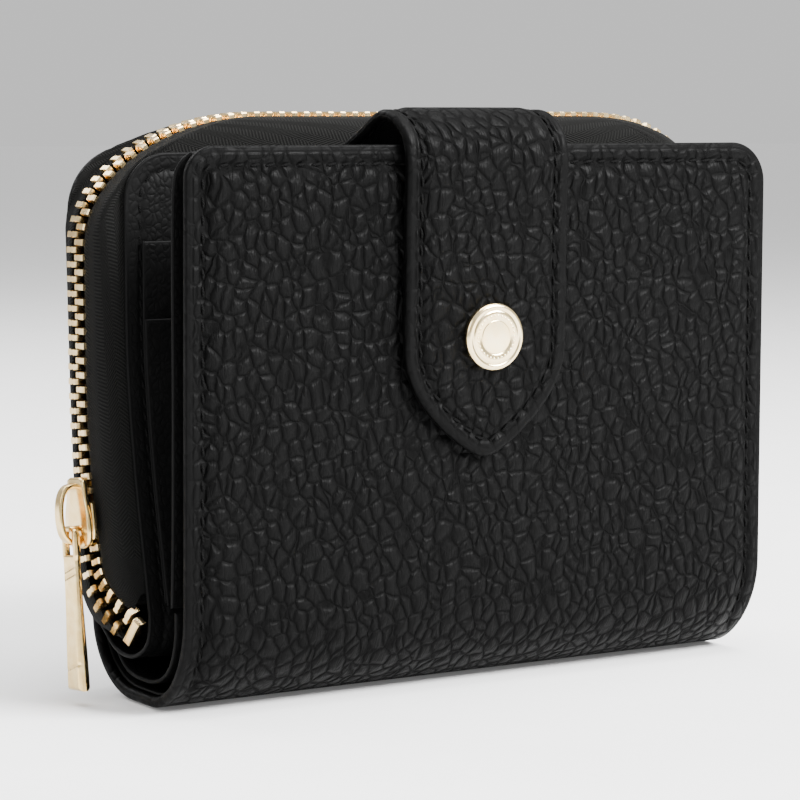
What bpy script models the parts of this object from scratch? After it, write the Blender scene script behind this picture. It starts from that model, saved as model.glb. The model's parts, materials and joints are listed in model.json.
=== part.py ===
"""Compact zip-around wallet with a front cover that opens and a snap strap over its top.

Frame: origin at the middle of the flat strip that the fold stands on. +X runs along the wallet's width,
+Y to the back, +Z up. The front cover faces -Y. Lengths are metres.
"""

import math

import bmesh
import bpy
import numpy as np
from mathutils import Matrix, Vector

MM = 0.001
GAP = 0.25 * MM  # left between sheets that are sewn or glued together

# Outer leather: one strip from the front cover's top, round the fold, to the back's top.
HALF_WIDTH = 62.0 * MM
FRONT_TOP_Z = 98.2 * MM
FRONT_TOP_Y = -20.6 * MM
FRONT_FOOT_Z = 18.0 * MM  # where the cover bends to open
FRONT_FOOT_Y = -18.8 * MM
BASE_HALF = 6.0 * MM
BACK_FOOT_Z = 14.0 * MM
BACK_FOOT_Y = 18.9 * MM
BACK_TOP_Z = 98.0 * MM
BACK_TOP_Y = 21.1 * MM
BACK_TOP_HALF = 65.0 * MM
COVER_CORNER_LEFT = 5.5 * MM
COVER_CORNER_RIGHT = 7.5 * MM
COVER_FLARE = 0.8 * MM  # the cover's right edge is this much wider at its foot
BACK_CORNER = 12.0 * MM
HINGE_SLIT = 0.3 * MM

# Sheet thicknesses, from the outside in.
COVER_SKIN = 0.9 * MM
BACK_SKIN = 1.1 * MM
BOARD = 0.4 * MM
LINING = 0.6 * MM
THIN = 0.5 * MM

# Card panel and card slots inside the front cover: the panel stands off the lining as a side pocket.
PANEL_ROUTE = ((-17.5, 97.0), (-15.0, 93.0), (-14.0, 84.0), (-13.6, 55.0), (-12.9, 30.0), (-12.3, 18.6))
PANEL_SKIN = 0.8 * MM
SLOT_TOPS = (86.0 * MM, 73.0 * MM, 60.0 * MM)
SLOT_INSET = 3.0 * MM

# Middle leaf: the front wall of the zip compartment, then its floor.
LEAF_ROUTE = ((2.9, 97.0), (2.9, 78.0), (2.7, 60.0), (0.4, 42.0), (-3.2, 24.0), (-4.9, 15.5))
FLOOR_ROUTE = ((-4.9, 15.5), (-3.4, 10.6), (2.2, 7.6), (9.0, 7.9), (15.0, 11.4))
LEAF_TOP = 97.0 * MM
LEAF_CORNER = 8.5 * MM
LEAF_SKIN = 0.9 * MM
LEAF_POCKET_TOPS = (82.0 * MM, 68.0 * MM)
SEAM = 5.0 * MM  # linings stop this far inside the edge, where the zip tape is sewn
DIVIDER_Y = 10.1 * MM
DIVIDER_TOP = 86.0 * MM
DIVIDER_HALF = 54.0 * MM

# Zip: the chain's centre line runs up each side, round two soft corners and across the top.
CHAIN_X = 66.5 * MM
CHAIN_TOP = 103.0 * MM
CHAIN_Y = 12.0 * MM
CHAIN_BEND_Z = 60.0 * MM  # below this the chain leans forward
CHAIN_LEAN = 4.3 * MM
CHAIN_FOOT_Z = 26.0 * MM
CHAIN_SHOULDER = {-1: (31.0 * MM, 80.0 * MM, 2.0), 1: (38.0 * MM, 84.0 * MM, 2.7)}  # centre x, z, power
CHAIN_END = Vector((64.0, -1.0, 14.2)) * MM
TOOTH_PITCH = 2.6 * MM
TOOTH_IN = 1.5 * MM
TOOTH_ROOT = 2.3 * MM
TOOTH_OUT = 2.9 * MM
TOOTH_HALF = 1.2 * MM
TAPE = 0.6 * MM
TAPE_HEM = 3.5 * MM
FRONT_TAPE_FOOT = 20.0 * MM
BACK_TAPE_FOOT = 15.0 * MM
SPREAD = 0.7 * MM  # the rows part by this much below the slider

# Slider and pull.
SLIDER_Z = 33.5 * MM
SLIDER_TILT = math.radians(5.5)
PIVOT_OUT = 3.95 * MM
PIVOT_DOWN = 2.9 * MM

# Strap.
STRAP_X = -1.7 * MM
STRAP_HALF = 17.8 * MM
STRAP_SKIN = 1.1 * MM
STRAP_LINING = 0.7 * MM
STRAP_STANDOFF = 2.6 * MM  # outer face of the strap to the cover's face
STRAP_TIP_Z = 41.6 * MM
STRAP_STRAIGHT_Z = 62.0 * MM
STRAP_BASE_ROUTE = ((2.55, 86.5), (2.55, 93.5), (0.9, 97.4), (-2.6, 99.6), (-6.4, 101.4), (-10.0, 103.4))
STRAP_ARCH_ROUTE = ((-10.0, 103.4), (-13.8, 104.5), (-18.4, 103.4), (-22.2, 100.0), (-23.35, 95.5), (-23.15, 90.0))
STRAP_PIVOT = Vector((STRAP_X, -15.0 * MM, 103.5 * MM))
SNAP_Z = 64.0 * MM
SNAP_RADIUS = 6.05 * MM

LEATHER = ("black_leather", (0.016, 0.016, 0.017), 0.55, 0.0)
LINING_LEATHER = ("black_lining", (0.022, 0.022, 0.023), 0.7, 0.0)
TAPE_CLOTH = ("zip_tape_cloth", (0.02, 0.02, 0.021), 0.9, 0.0)
BOARD_STOCK = ("stiffener_board", (0.45, 0.4, 0.33), 0.9, 0.0)
GOLD = ("pale_gold", (0.87, 0.72, 0.45), 0.22, 1.0)


def clear_scene():
    """Remove whatever the scene starts with."""
    for obj in list(bpy.data.objects):
        bpy.data.objects.remove(obj, do_unlink=True)


def finish_material(kind):
    """The Principled material of one kind, made once."""
    name, colour, roughness, metallic = kind
    found = bpy.data.materials.get(name)
    if found:
        return found
    made = bpy.data.materials.new(name)
    made.use_nodes = True
    shader = made.node_tree.nodes["Principled BSDF"]
    shader.inputs["Base Color"].default_value = (*colour, 1.0)
    shader.inputs["Roughness"].default_value = roughness
    shader.inputs["Metallic"].default_value = metallic
    made.diffuse_color = (*colour, 1.0)
    return made


def add_object(name, verts, faces, kind, smooth=False):
    """A mesh object with outward normals, from points and faces."""
    mesh = bpy.data.meshes.new(name)
    mesh.from_pydata([tuple(v) for v in verts], [], faces)
    work = bmesh.new()
    work.from_mesh(mesh)
    bmesh.ops.recalc_face_normals(work, faces=work.faces)
    work.to_mesh(mesh)
    work.free()
    mesh.materials.append(finish_material(kind))
    obj = bpy.data.objects.new(name, mesh)
    bpy.context.scene.collection.objects.link(obj)
    if smooth:
        mesh.shade_smooth()
        mesh.set_sharp_from_angle(angle=math.radians(35))
    return obj


def ring_faces(rings, corners):
    """Faces of a loft whose rings have this many corners, with both ends capped."""
    faces = [tuple(range(corners)), tuple(range((rings - 1) * corners, rings * corners))]
    for ring in range(rings - 1):
        low, high = ring * corners, (ring + 1) * corners
        for i in range(corners):
            j = (i + 1) % corners
            faces.append((low + i, low + j, high + j, high + i))
    return faces


def smooth_route(points, steps=4):
    """A Catmull-Rom curve through (y, z) points given in millimetres, in metres."""
    knots = np.array(points, float) * MM
    padded = np.vstack([2 * knots[0] - knots[1], knots, 2 * knots[-1] - knots[-2]])
    curve = []
    for a, b, c, d in zip(padded, padded[1:], padded[2:], padded[3:]):
        for t in np.arange(steps) / steps:
            curve.append(0.5 * (2 * b + (c - a) * t + (2 * a - 5 * b + 4 * c - d) * t**2
                                + (3 * b - a - 3 * c + d) * t**3))
    return np.array([*curve, knots[-1]])


def route_normals(route):
    """Unit normals of a (y, z) route, a quarter turn anticlockwise from its direction."""
    step = np.gradient(route, axis=0)
    along = step / np.linalg.norm(step, axis=1)[:, None]
    return np.column_stack([-along[:, 1], along[:, 0]])


def ribbon(name, route, left, right, thickness, kind, offset=0.0, centre=0.0):
    """A sheet of even thickness whose (y, z) route runs lengthwise and whose width lies along X."""
    normals = route_normals(route)
    outer = route + normals * offset
    inner = route + normals * (offset + thickness)
    verts = []
    for i in range(len(route)):
        low, high = centre - left[i], centre + right[i]
        verts += [(low, *outer[i]), (high, *outer[i]), (high, *inner[i]), (low, *inner[i])]
    return add_object(name, verts, ring_faces(len(route), 4), kind)


def ellipse_arc(centre, radii, start, end, steps):
    """Points of an ellipse's arc between two angles in degrees."""
    angles = np.radians(np.linspace(start, end, steps + 1))
    return np.column_stack([centre[0] + radii[0] * np.cos(angles), centre[1] + radii[1] * np.sin(angles)])


def corner_heights(top, radius, bottom, steps=6):
    """Heights from a rounded corner's top to its foot and on to the bottom."""
    angles = np.radians(np.linspace(90, 0, steps + 1))
    return np.array([*(top - radius + radius * np.sin(angles)), bottom])


def rounded_half(z, half, top, radius):
    """Half-width at height z of a panel with a rounded top corner."""
    rise = np.clip((z - (top - radius)) / radius, 0, 1)
    return half - radius + radius * np.sqrt(1 - rise**2)


def front_y(z):
    """The front cover's outer face."""
    return np.interp(z, (FRONT_FOOT_Z, FRONT_TOP_Z), (FRONT_FOOT_Y, FRONT_TOP_Y))


def back_y(z):
    """The back's outer face."""
    return np.interp(z, (BACK_FOOT_Z, BACK_TOP_Z), (BACK_FOOT_Y, BACK_TOP_Y))


def back_half(z):
    """The back's half-width, which grows towards its top."""
    return np.interp(z, (BACK_FOOT_Z, BACK_TOP_Z - BACK_CORNER), (HALF_WIDTH, BACK_TOP_HALF))


def drill(obj, name, centre, radius, lean):
    """Cut a round hole along the face's normal through a sheet."""
    bpy.ops.mesh.primitive_cylinder_add(vertices=24, radius=radius, depth=8 * MM, location=centre)
    cutter = bpy.context.object
    cutter.name = name
    cutter.rotation_euler.x = math.pi / 2 + lean
    cutter.hide_render = True
    cutter.display_type = "WIRE"
    cut = obj.modifiers.new("Hole", "BOOLEAN")
    cut.operation = "DIFFERENCE"
    cut.object = cutter


def turned(name, profile, centre, lean, kind, steps=28):
    """A round piece turned from (radius, height) points, its axis along the front face's normal."""
    angles = np.linspace(0, 2 * math.pi, steps, endpoint=False)
    rings = [(r, h) for r, h in profile if r > 0]
    verts = [(r * math.cos(a), r * math.sin(a), h) for r, h in rings for a in angles]
    faces = [tuple(range(steps)), tuple(range((len(rings) - 1) * steps, len(rings) * steps))]
    for ring in range(len(rings) - 1):
        for i in range(steps):
            j = (i + 1) % steps
            faces.append((ring * steps + i, ring * steps + j, (ring + 1) * steps + j, (ring + 1) * steps + i))
    obj = add_object(name, verts, faces, kind, smooth=True)
    obj.location = centre
    obj.rotation_euler.x = math.pi / 2 + lean
    return obj


def hang(objects, name, place):
    """Parent pieces to an empty on their joint's axis, leaving them where they are."""
    empty = bpy.data.objects.new(name, None)
    empty.location = place
    empty.empty_display_size = 5 * MM
    bpy.context.scene.collection.objects.link(empty)
    bpy.context.view_layer.update()
    for obj in objects:
        obj.parent = empty
        obj.matrix_parent_inverse = empty.matrix_world.inverted()
    return empty


# --- outer leather -----------------------------------------------------------------------------------


def cover_sheet(name, inset, thickness, offset, kind):
    """One layer of the front cover, this far inside its edges."""
    top = FRONT_TOP_Z - inset
    heights = corner_heights(top, COVER_CORNER_RIGHT, FRONT_FOOT_Z + HINGE_SLIT / 2 + inset)
    flare = np.interp(heights, (FRONT_FOOT_Z, FRONT_TOP_Z), (COVER_FLARE, 0))
    left = rounded_half(heights, HALF_WIDTH - inset, top, COVER_CORNER_LEFT)
    right = rounded_half(heights, HALF_WIDTH - inset, top, COVER_CORNER_RIGHT) + flare
    route = np.column_stack([front_y(heights), heights])
    return ribbon(name, route, left, right, thickness, kind, offset)


def back_sheet(name, inset, thickness, offset, kind):
    """One layer of the back, this far inside its edges."""
    top = BACK_TOP_Z - inset
    heights = corner_heights(top, BACK_CORNER, BACK_FOOT_Z + HINGE_SLIT / 2 + inset / 2)[::-1]
    half = rounded_half(heights, back_half(heights) - inset, top, BACK_CORNER)
    return ribbon(name, np.column_stack([back_y(heights), heights]), half, half, thickness, kind, offset)


def fold_route():
    """The outer leather's fold: a front quarter ellipse, the flat base strip and a back quarter ellipse."""
    front = ellipse_arc((-BASE_HALF, FRONT_FOOT_Z), (-BASE_HALF - FRONT_FOOT_Y, FRONT_FOOT_Z), 180, 270, 9)
    back = ellipse_arc((BASE_HALF, BACK_FOOT_Z), (BACK_FOOT_Y - BASE_HALF, BACK_FOOT_Z), 270, 360, 9)
    return np.vstack([front, back])


def fold_sheet(name, thickness, offset, kind):
    """One layer of the fold."""
    route = fold_route()
    half = np.full(len(route), HALF_WIDTH)
    return ribbon(name, route, half, half, thickness, kind, offset)


def face_place(x, z, lift=0.0):
    """A point on the front cover's outer face, lifted outwards."""
    lean = cover_lean()
    return Vector((x, front_y(z) - lift * math.cos(lean), z - lift * math.sin(lean)))


def cover_lean():
    """How far the cover's face leans from upright."""
    return math.atan2(FRONT_FOOT_Y - FRONT_TOP_Y, FRONT_TOP_Z - FRONT_FOOT_Z)


def build_front_cover():
    """Leather, board, lining, card panel, card slots and snap stud, which open together."""
    lean = cover_lean()
    stud_place = face_place(STRAP_X, SNAP_Z)
    skin = cover_sheet("front_leather", 0.0, COVER_SKIN, 0.0, LEATHER)
    drill(skin, "stud_hole_cutter", stud_place, 2.3 * MM, lean)
    board_in = COVER_SKIN + GAP
    board = cover_sheet("front_board", 1.5 * MM, BOARD, board_in, BOARD_STOCK)
    drill(board, "stud_flange_cutter", stud_place, 4.4 * MM, lean)
    lining = cover_sheet("front_lining", 0.4 * MM, LINING, board_in + BOARD + GAP, LINING_LEATHER)
    flange = -(board_in + BOARD)
    stud = turned("snap_stud", ((4.0 * MM, flange), (4.0 * MM, -board_in), (1.9 * MM, -board_in),
                                (1.7 * MM, 0.0), (1.9 * MM, 0.35 * MM), (1.4 * MM, 0.6 * MM)), stud_place, lean, GOLD)
    pieces = [skin, board, lining, stud]

    panel = smooth_route(PANEL_ROUTE)
    half = rounded_half(panel[:, 1], HALF_WIDTH - 0.5 * MM, FRONT_TOP_Z, COVER_CORNER_LEFT)
    pieces.append(ribbon("card_panel", panel, half, half, PANEL_SKIN, LEATHER))
    for number, top in enumerate(SLOT_TOPS, 1):
        route = panel[panel[:, 1] < top]
        half = np.full(len(route), HALF_WIDTH - SLOT_INSET)
        offset = PANEL_SKIN + GAP + (number - 1) * (THIN + GAP)
        pieces.append(ribbon(f"card_slot_{number}", route, half, half, THIN, LINING_LEATHER, offset))
    hang(pieces, "cover_hinge", (0, FRONT_FOOT_Y, FRONT_FOOT_Z))


def build_shell():
    """The fold and the back, which stay still."""
    fold_sheet("spine_leather", BACK_SKIN, 0.0, LEATHER)
    fold_sheet("spine_lining", LINING, BACK_SKIN + GAP, LINING_LEATHER)
    back_sheet("back_leather", 0.0, BACK_SKIN, 0.0, LEATHER)
    back_sheet("back_board", 2.0 * MM, BOARD, BACK_SKIN + GAP, BOARD_STOCK)
    back_sheet("back_lining", SEAM, LINING, BACK_SKIN + BOARD + 2 * GAP, LINING_LEATHER)


# --- zip compartment ---------------------------------------------------------------------------------


def leaf_y(z):
    """The leaf's front face."""
    route = smooth_route(LEAF_ROUTE)[::-1]
    return np.interp(z, route[:, 1], route[:, 0])


def leaf_half(z):
    """The leaf's half-width, the same at every height."""
    return np.full(np.shape(z), HALF_WIDTH)


def leaf_sheet(name, top, inset, thickness, offset, kind, bottom=None):
    """One layer on the leaf, from its foot or the given bottom up to the given top."""
    foot = LEAF_ROUTE[-1][1] * MM if bottom is None else bottom
    heights = np.concatenate([corner_heights(top, LEAF_CORNER, top - 1.4 * LEAF_CORNER),
                              np.linspace(top - 2 * LEAF_CORNER, foot, 11)])
    half = rounded_half(heights, HALF_WIDTH - inset, top, LEAF_CORNER)
    return ribbon(name, np.column_stack([leaf_y(heights), heights]), half, half, thickness, kind, offset)


def build_compartment():
    """The leaf, its card pockets, the floor, the divider and the folded gussets."""
    leaf_sheet("leaf_leather", LEAF_TOP, 0.0, LEAF_SKIN, 0.0, LEATHER)
    leaf_sheet("leaf_lining", LEAF_TOP - SEAM, SEAM, THIN, LEAF_SKIN + GAP, LINING_LEATHER, 17 * MM)
    for number, top in enumerate(LEAF_POCKET_TOPS, 1):
        heights = np.linspace(top, 18 * MM, 9)
        half = np.full(len(heights), HALF_WIDTH - SLOT_INSET)
        route = np.column_stack([leaf_y(heights), heights])
        ribbon(f"leaf_pocket_{number}", route, half, half, THIN, LINING_LEATHER, -number * (THIN + GAP))
    floor = smooth_route(FLOOR_ROUTE)[1:]
    half = np.full(len(floor), HALF_WIDTH)
    ribbon("compartment_floor", floor, half, half, LEAF_SKIN, LEATHER)
    divider = np.array([(DIVIDER_Y, DIVIDER_TOP), (DIVIDER_Y, 14 * MM)])
    half = np.full(2, DIVIDER_HALF)
    ribbon("coin_divider", divider, half, half, LINING, LINING_LEATHER)
    for side, name in ((-1, "gusset_left"), (1, "gusset_right")):
        build_gusset(name, side)


def build_gusset(name, side):
    """A concertina strip between the leaf and the back: a zigzag in plan, drawn upwards."""
    depths = np.linspace(5.4, 15.2, 5) * MM
    reach = np.array([56.0, 60.0, 56.0, 60.0, 56.0]) * MM
    half_wall = 0.28 * MM
    plan = [(x + half_wall, y) for x, y in zip(reach, depths)]
    plan += [(x - half_wall, y) for x, y in zip(reach[::-1], depths[::-1])]
    low, high = 16 * MM, DIVIDER_TOP
    verts = [(side * x, y, z) for z in (low, high) for x, y in plan]
    add_object(name, verts, ring_faces(2, len(plan)), LINING_LEATHER)


# --- zip ---------------------------------------------------------------------------------------------


def chain_lean(z):
    """The chain's depth on a side at height z."""
    drop = np.clip((CHAIN_BEND_Z - z) / (CHAIN_BEND_Z - CHAIN_FOOT_Z), 0, None)
    return CHAIN_Y - CHAIN_LEAN * drop**2


def half_chain(side, counts):
    """Centre line of one half of the chain, from its low end to where the top run starts."""
    lower, upright, round_ = counts
    start = np.array(CHAIN_END)
    end = np.array((CHAIN_X, chain_lean(CHAIN_FOOT_Z), CHAIN_FOOT_Z))
    first = start + np.array((2.6, 4.6, 4.4)) * MM
    second = end - np.array((0.0, 1.5, 6.0)) * MM
    t = np.linspace(0, 1, lower, endpoint=False)[:, None]
    curve = (1 - t)**3 * start + 3 * (1 - t)**2 * t * first + 3 * (1 - t) * t**2 * second + t**3 * end
    middle_x, middle_z, power = CHAIN_SHOULDER[side]
    heights = np.linspace(CHAIN_FOOT_Z, middle_z, upright, endpoint=False)
    straight = np.column_stack([np.full(upright, CHAIN_X), chain_lean(heights), heights])
    angles = np.radians(np.linspace(0, 90, round_))
    across = middle_x + (CHAIN_X - middle_x) * np.cos(angles)**(2 / power)
    up = middle_z + (CHAIN_TOP - middle_z) * np.sin(angles)**(2 / power)
    shoulder = np.column_stack([across, np.full(round_, CHAIN_Y), up])
    return np.vstack([curve, straight, shoulder]) * (side, 1, 1)


def chain_line(counts, top):
    """Whole centre line from the left low end over the top to the right low end."""
    left, right = half_chain(-1, counts), half_chain(1, counts)[::-1]
    share = np.linspace(0, 1, top + 2)[1:-1, None]
    return np.vstack([left, left[-1] + (right[0] - left[-1]) * share, right])


def chain_frame(line):
    """Unit directions along the chain, across it towards the back, and outwards."""
    step = np.gradient(line, axis=0)
    along = step / np.linalg.norm(step, axis=1)[:, None]
    outward = np.cross(along, (0.0, 1.0, 0.0))
    sideways = np.array([np.sign(x) if z < CHAIN_BEND_Z else 0.0 for x, _, z in line])
    upright = np.column_stack([sideways, np.zeros(len(line)), np.zeros(len(line))])
    upright -= along * np.sum(along * upright, axis=1)[:, None]
    outward = np.where(np.abs(sideways)[:, None] > 0, upright, outward)
    outward /= np.linalg.norm(outward, axis=1)[:, None]
    return along, np.cross(outward, along), outward


def row_spread(z):
    """How far a row moves outwards from the chain's centre, below the slider."""
    return SPREAD * np.clip((SLIDER_Z - z) / (5 * MM), 0, 1)


def resample(line, pitch):
    """Points along a line at an even pitch."""
    length = np.concatenate([[0], np.cumsum(np.linalg.norm(np.diff(line, axis=0), axis=1))])
    places = np.linspace(0, length[-1], int(length[-1] / pitch) + 1)
    return np.column_stack([np.interp(places, length, line[:, k]) for k in range(3)])


def build_teeth(name, row):
    """One row of teeth, cut from a single strip that tapers between teeth. row is -1 in front, 1 behind."""
    line = resample(chain_line((40, 30, 60), 30), TOOTH_PITCH / 2)
    _, across, outward = chain_frame(line)
    verts = []
    for i, point in enumerate(line):
        spread = row_spread(point[2])
        near = spread + (TOOTH_IN if (i + (row > 0)) % 2 else TOOTH_ROOT)
        far = spread + TOOTH_OUT
        for reach, lift in ((near, -1), (far, -1), (far, 1), (near, 1)):
            verts.append(point + row * reach * across[i] + lift * TOOTH_HALF * outward[i])
    return add_object(name, verts, ring_faces(len(line), 4), GOLD)


def rim_line(half, top, radius, depth, foot, counts, top_count):
    """A panel's edge from its left foot over the top to its right foot, and its outward direction."""
    lower, upright, round_ = counts
    heights = np.concatenate([np.linspace(foot, CHAIN_FOOT_Z, lower, endpoint=False),
                              np.linspace(CHAIN_FOOT_Z, top - radius, upright, endpoint=False)])
    angles = np.radians(np.linspace(0, 90, round_))
    corner_z = top - radius + radius * np.sin(angles)
    corner_x = half(top - radius) - radius + radius * np.cos(angles)
    x = np.concatenate([half(heights), corner_x])
    z = np.concatenate([heights, corner_z])
    out_x = np.concatenate([np.ones(len(heights)), np.cos(angles)])
    out_z = np.concatenate([np.zeros(len(heights)), np.sin(angles)])
    left = np.column_stack([-x, depth(z), z])
    out = np.column_stack([-out_x, np.zeros(len(x)), out_z])
    share = np.linspace(0, 1, top_count + 2)[1:-1, None]
    mirror = (-1, 1, 1)
    right, out_right = (left * mirror)[::-1], (out * mirror)[::-1]
    line = np.vstack([left, left[-1] + (right[0] - left[-1]) * share, right])
    outward = np.vstack([out, np.tile((0.0, 0.0, 1.0), (top_count, 1)), out_right])
    return line, outward


def build_tape(name, row, rim, outward, sunk):
    """Woven tape from under a panel's edge, bulging outwards, to the chain. sunk is the hem's depth inwards."""
    counts, top_count = (5, 7, 9), 5
    line = chain_line(counts, top_count)
    _, across, _ = chain_frame(line)
    inward = np.array((0.0, -float(row), 0.0))
    reach = (TOOTH_OUT + 1.5 * GAP + row_spread(line[:, 2]))[:, None]
    edge = line + row * reach * across
    hem = rim + inward * sunk
    gap = edge - hem
    out_share = np.sum(gap * outward, axis=1)[:, None] * outward
    deep_share = (gap @ inward)[:, None] * inward
    rest = gap - out_share - deep_share
    rows = [hem - TAPE_HEM * outward, hem + 0.02 * out_share]
    for out_part, deep_part, rest_part in ((0.62, 0.08, 0.3), (0.93, 0.38, 0.7)):
        rows.append(hem + out_share * out_part + deep_share * deep_part + rest * rest_part)
    rows.append(edge)
    verts = np.concatenate(rows)
    size = len(line)
    faces = [(r * size + i, r * size + i + 1, (r + 1) * size + i + 1, (r + 1) * size + i)
             for r in range(len(rows) - 1) for i in range(size - 1)]
    obj = add_object(name, verts, faces, TAPE_CLOTH)
    wall = obj.modifiers.new("Wall", "SOLIDIFY")
    wall.thickness = TAPE
    wall.offset = 0.0
    return obj


def build_stop(name, side):
    """The metal stop that closes both rows at one low end."""
    line = half_chain(side, (40, 10, 10))[:3]
    along, across, outward = (v[0] for v in chain_frame(line))
    place = line[0] - along * 1.3 * MM
    frame = Matrix((across, outward, along)).transposed()
    half = Vector((TOOTH_OUT, TOOTH_HALF, 0.8 * MM))
    corners = ((-1, -1), (1, -1), (1, 1), (-1, 1))
    verts = [Vector(place) + frame @ Vector((a * half.x, b * half.y, c * half.z)) for c in (-1, 1) for a, b in corners]
    return add_object(name, verts, ring_faces(2, 4), GOLD)


def build_zip():
    """Both rows of teeth, both tapes and the end stops."""
    counts, top_count = (5, 7, 9), 5
    build_teeth("zip_teeth_front", -1)
    build_teeth("zip_teeth_back", 1)
    rim, outward = rim_line(leaf_half, LEAF_TOP, LEAF_CORNER, leaf_y, FRONT_TAPE_FOOT, counts, top_count)
    build_tape("zip_tape_front", -1, rim, outward, LEAF_SKIN + GAP + TAPE / 2)
    rim, outward = rim_line(back_half, BACK_TOP_Z, BACK_CORNER, back_y, BACK_TAPE_FOOT, counts, top_count)
    build_tape("zip_tape_back", 1, rim, outward, BACK_SKIN + BOARD + 2 * GAP + TAPE / 2)
    for side, name in ((-1, "zip_stop_left"), (1, "zip_stop_right")):
        build_stop(name, side)


def plate(name, half_outline, near, far, kind):
    """A flat plate symmetric across Y: half its outline as (y, z) points, between two x values."""
    outline = [*half_outline, *[(-y, z) for y, z in reversed(half_outline)]]
    verts = [(x * MM, y * MM, z * MM) for x in (near, far) for y, z in outline]
    return add_object(name, verts, ring_faces(2, len(outline)), kind, smooth=True)


def join_to(obj, other):
    """Boolean union of a helper solid into obj."""
    other.hide_render = True
    other.display_type = "WIRE"
    union = obj.modifiers.new(other.name, "BOOLEAN")
    union.operation = "UNION"
    union.object = other


def build_slider():
    """Slider body: two plates on each side of the chain, joined by a wedge, with turned-in flanges."""
    outline = ((2.4, 6.2), (3.3, 5.4), (3.7, 2.5), (4.6, -0.6), (4.8, -3.6), (4.0, -5.5), (2.2, -6.3))
    inner_outline = [(0.75 * y, z) for y, z in outline]
    body = plate("slider_body", outline, -2.7, -1.7, GOLD)
    parts = [plate("inner_plate", inner_outline, 1.7, 2.5, GOLD),
             plate("wedge", ((0.45, -2.4), (0.45, -5.7)), -1.9, 1.9, GOLD)]
    for side in (-1, 1):
        corners = ((4.05, -4.4), (4.05, -0.9), (4.5, -0.9), (4.65, -4.4))
        verts = [(x * MM, side * y * MM, z * MM) for x in (-1.9, -1.05) for y, z in corners]
        parts.append(add_object(f"flange_{side + 1}", verts, ring_faces(2, 4), GOLD))
    bridge_route = np.array(((3.0, 5.2), (4.6, 4.9), (5.8, 3.6), (6.35, 1.2), (6.4, -1.8),
                             (5.9, -4.0), (4.7, -5.4), (3.0, -5.9))) * MM
    half = np.full(len(bridge_route), 1.25 * MM)
    bridge = ribbon("slider_bridge", bridge_route[::-1], half, half, 1.05 * MM, GOLD)
    place = Vector((-CHAIN_X, chain_lean(SLIDER_Z), SLIDER_Z))
    for obj in (body, *parts):
        obj.location = place
        obj.rotation_euler.x = -SLIDER_TILT
    bridge.matrix_world = (Matrix.Translation(place) @ Matrix.Rotation(-SLIDER_TILT, 4, "X")
                           @ Matrix.Rotation(math.pi / 2, 4, "Z"))
    for part in parts:
        join_to(body, part)
    return place


def build_pull(slider_place):
    """The pull: a loop round the bridge and a bar that thickens towards its foot."""
    stations = ((0.8, 1.5, 0.4), (0.35, 2.3, 0.55), (-5.4, 2.45, 0.6), (-6.4, 2.5, 0.65),
                (-27.9, 2.75, 1.1), (-28.5, 2.45, 0.85))
    verts = []
    for z, half, depth in stations:
        verts += [(-depth * MM, -half * MM, z * MM), (depth * MM, -half * MM, z * MM),
                  (depth * MM, half * MM, z * MM), (-depth * MM, half * MM, z * MM)]
    pull = add_object("zip_pull", verts, ring_faces(len(stations), 4), GOLD)
    hole = [(x * MM, y * MM, z * MM) for x in (-3, 3) for y, z in ((-1.6, -0.6), (1.6, -0.6), (1.6, -4.4), (-1.6, -4.4))]
    cutter = add_object("loop_hole_cutter", hole, ring_faces(2, 4), GOLD)
    cutter.hide_render = True
    cutter.display_type = "WIRE"
    cut = pull.modifiers.new("Loop", "BOOLEAN")
    cut.operation = "DIFFERENCE"
    cut.object = cutter
    turn = Matrix.Rotation(-SLIDER_TILT, 3, "X")
    pull.location = slider_place + turn @ Vector((-PIVOT_OUT, 0, -PIVOT_DOWN))
    cutter.location = pull.location


# --- strap -------------------------------------------------------------------------------------------


def strap_half(z, straight):
    """Half-width of the strap: even, then a parabola to a blunt point."""
    share = np.clip((z - STRAP_TIP_Z) / (STRAP_STRAIGHT_Z - STRAP_TIP_Z), 0.02, 1)
    return np.where(straight, STRAP_HALF, STRAP_HALF * (1 - (1 - share)**2))


def strap_route():
    """The tongue's outer face, from the top of the arch down to the tip."""
    arch = smooth_route(STRAP_ARCH_ROUTE)
    heights = np.array([84.0, 74.0, 64.0, 62.0, 59.0, 56.0, 53.0, 50.0, 47.0, 44.5, 42.6, 41.6]) * MM
    face = np.column_stack([front_y(heights) - STRAP_STANDOFF, heights])
    return np.vstack([arch, face]), len(arch)


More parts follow.
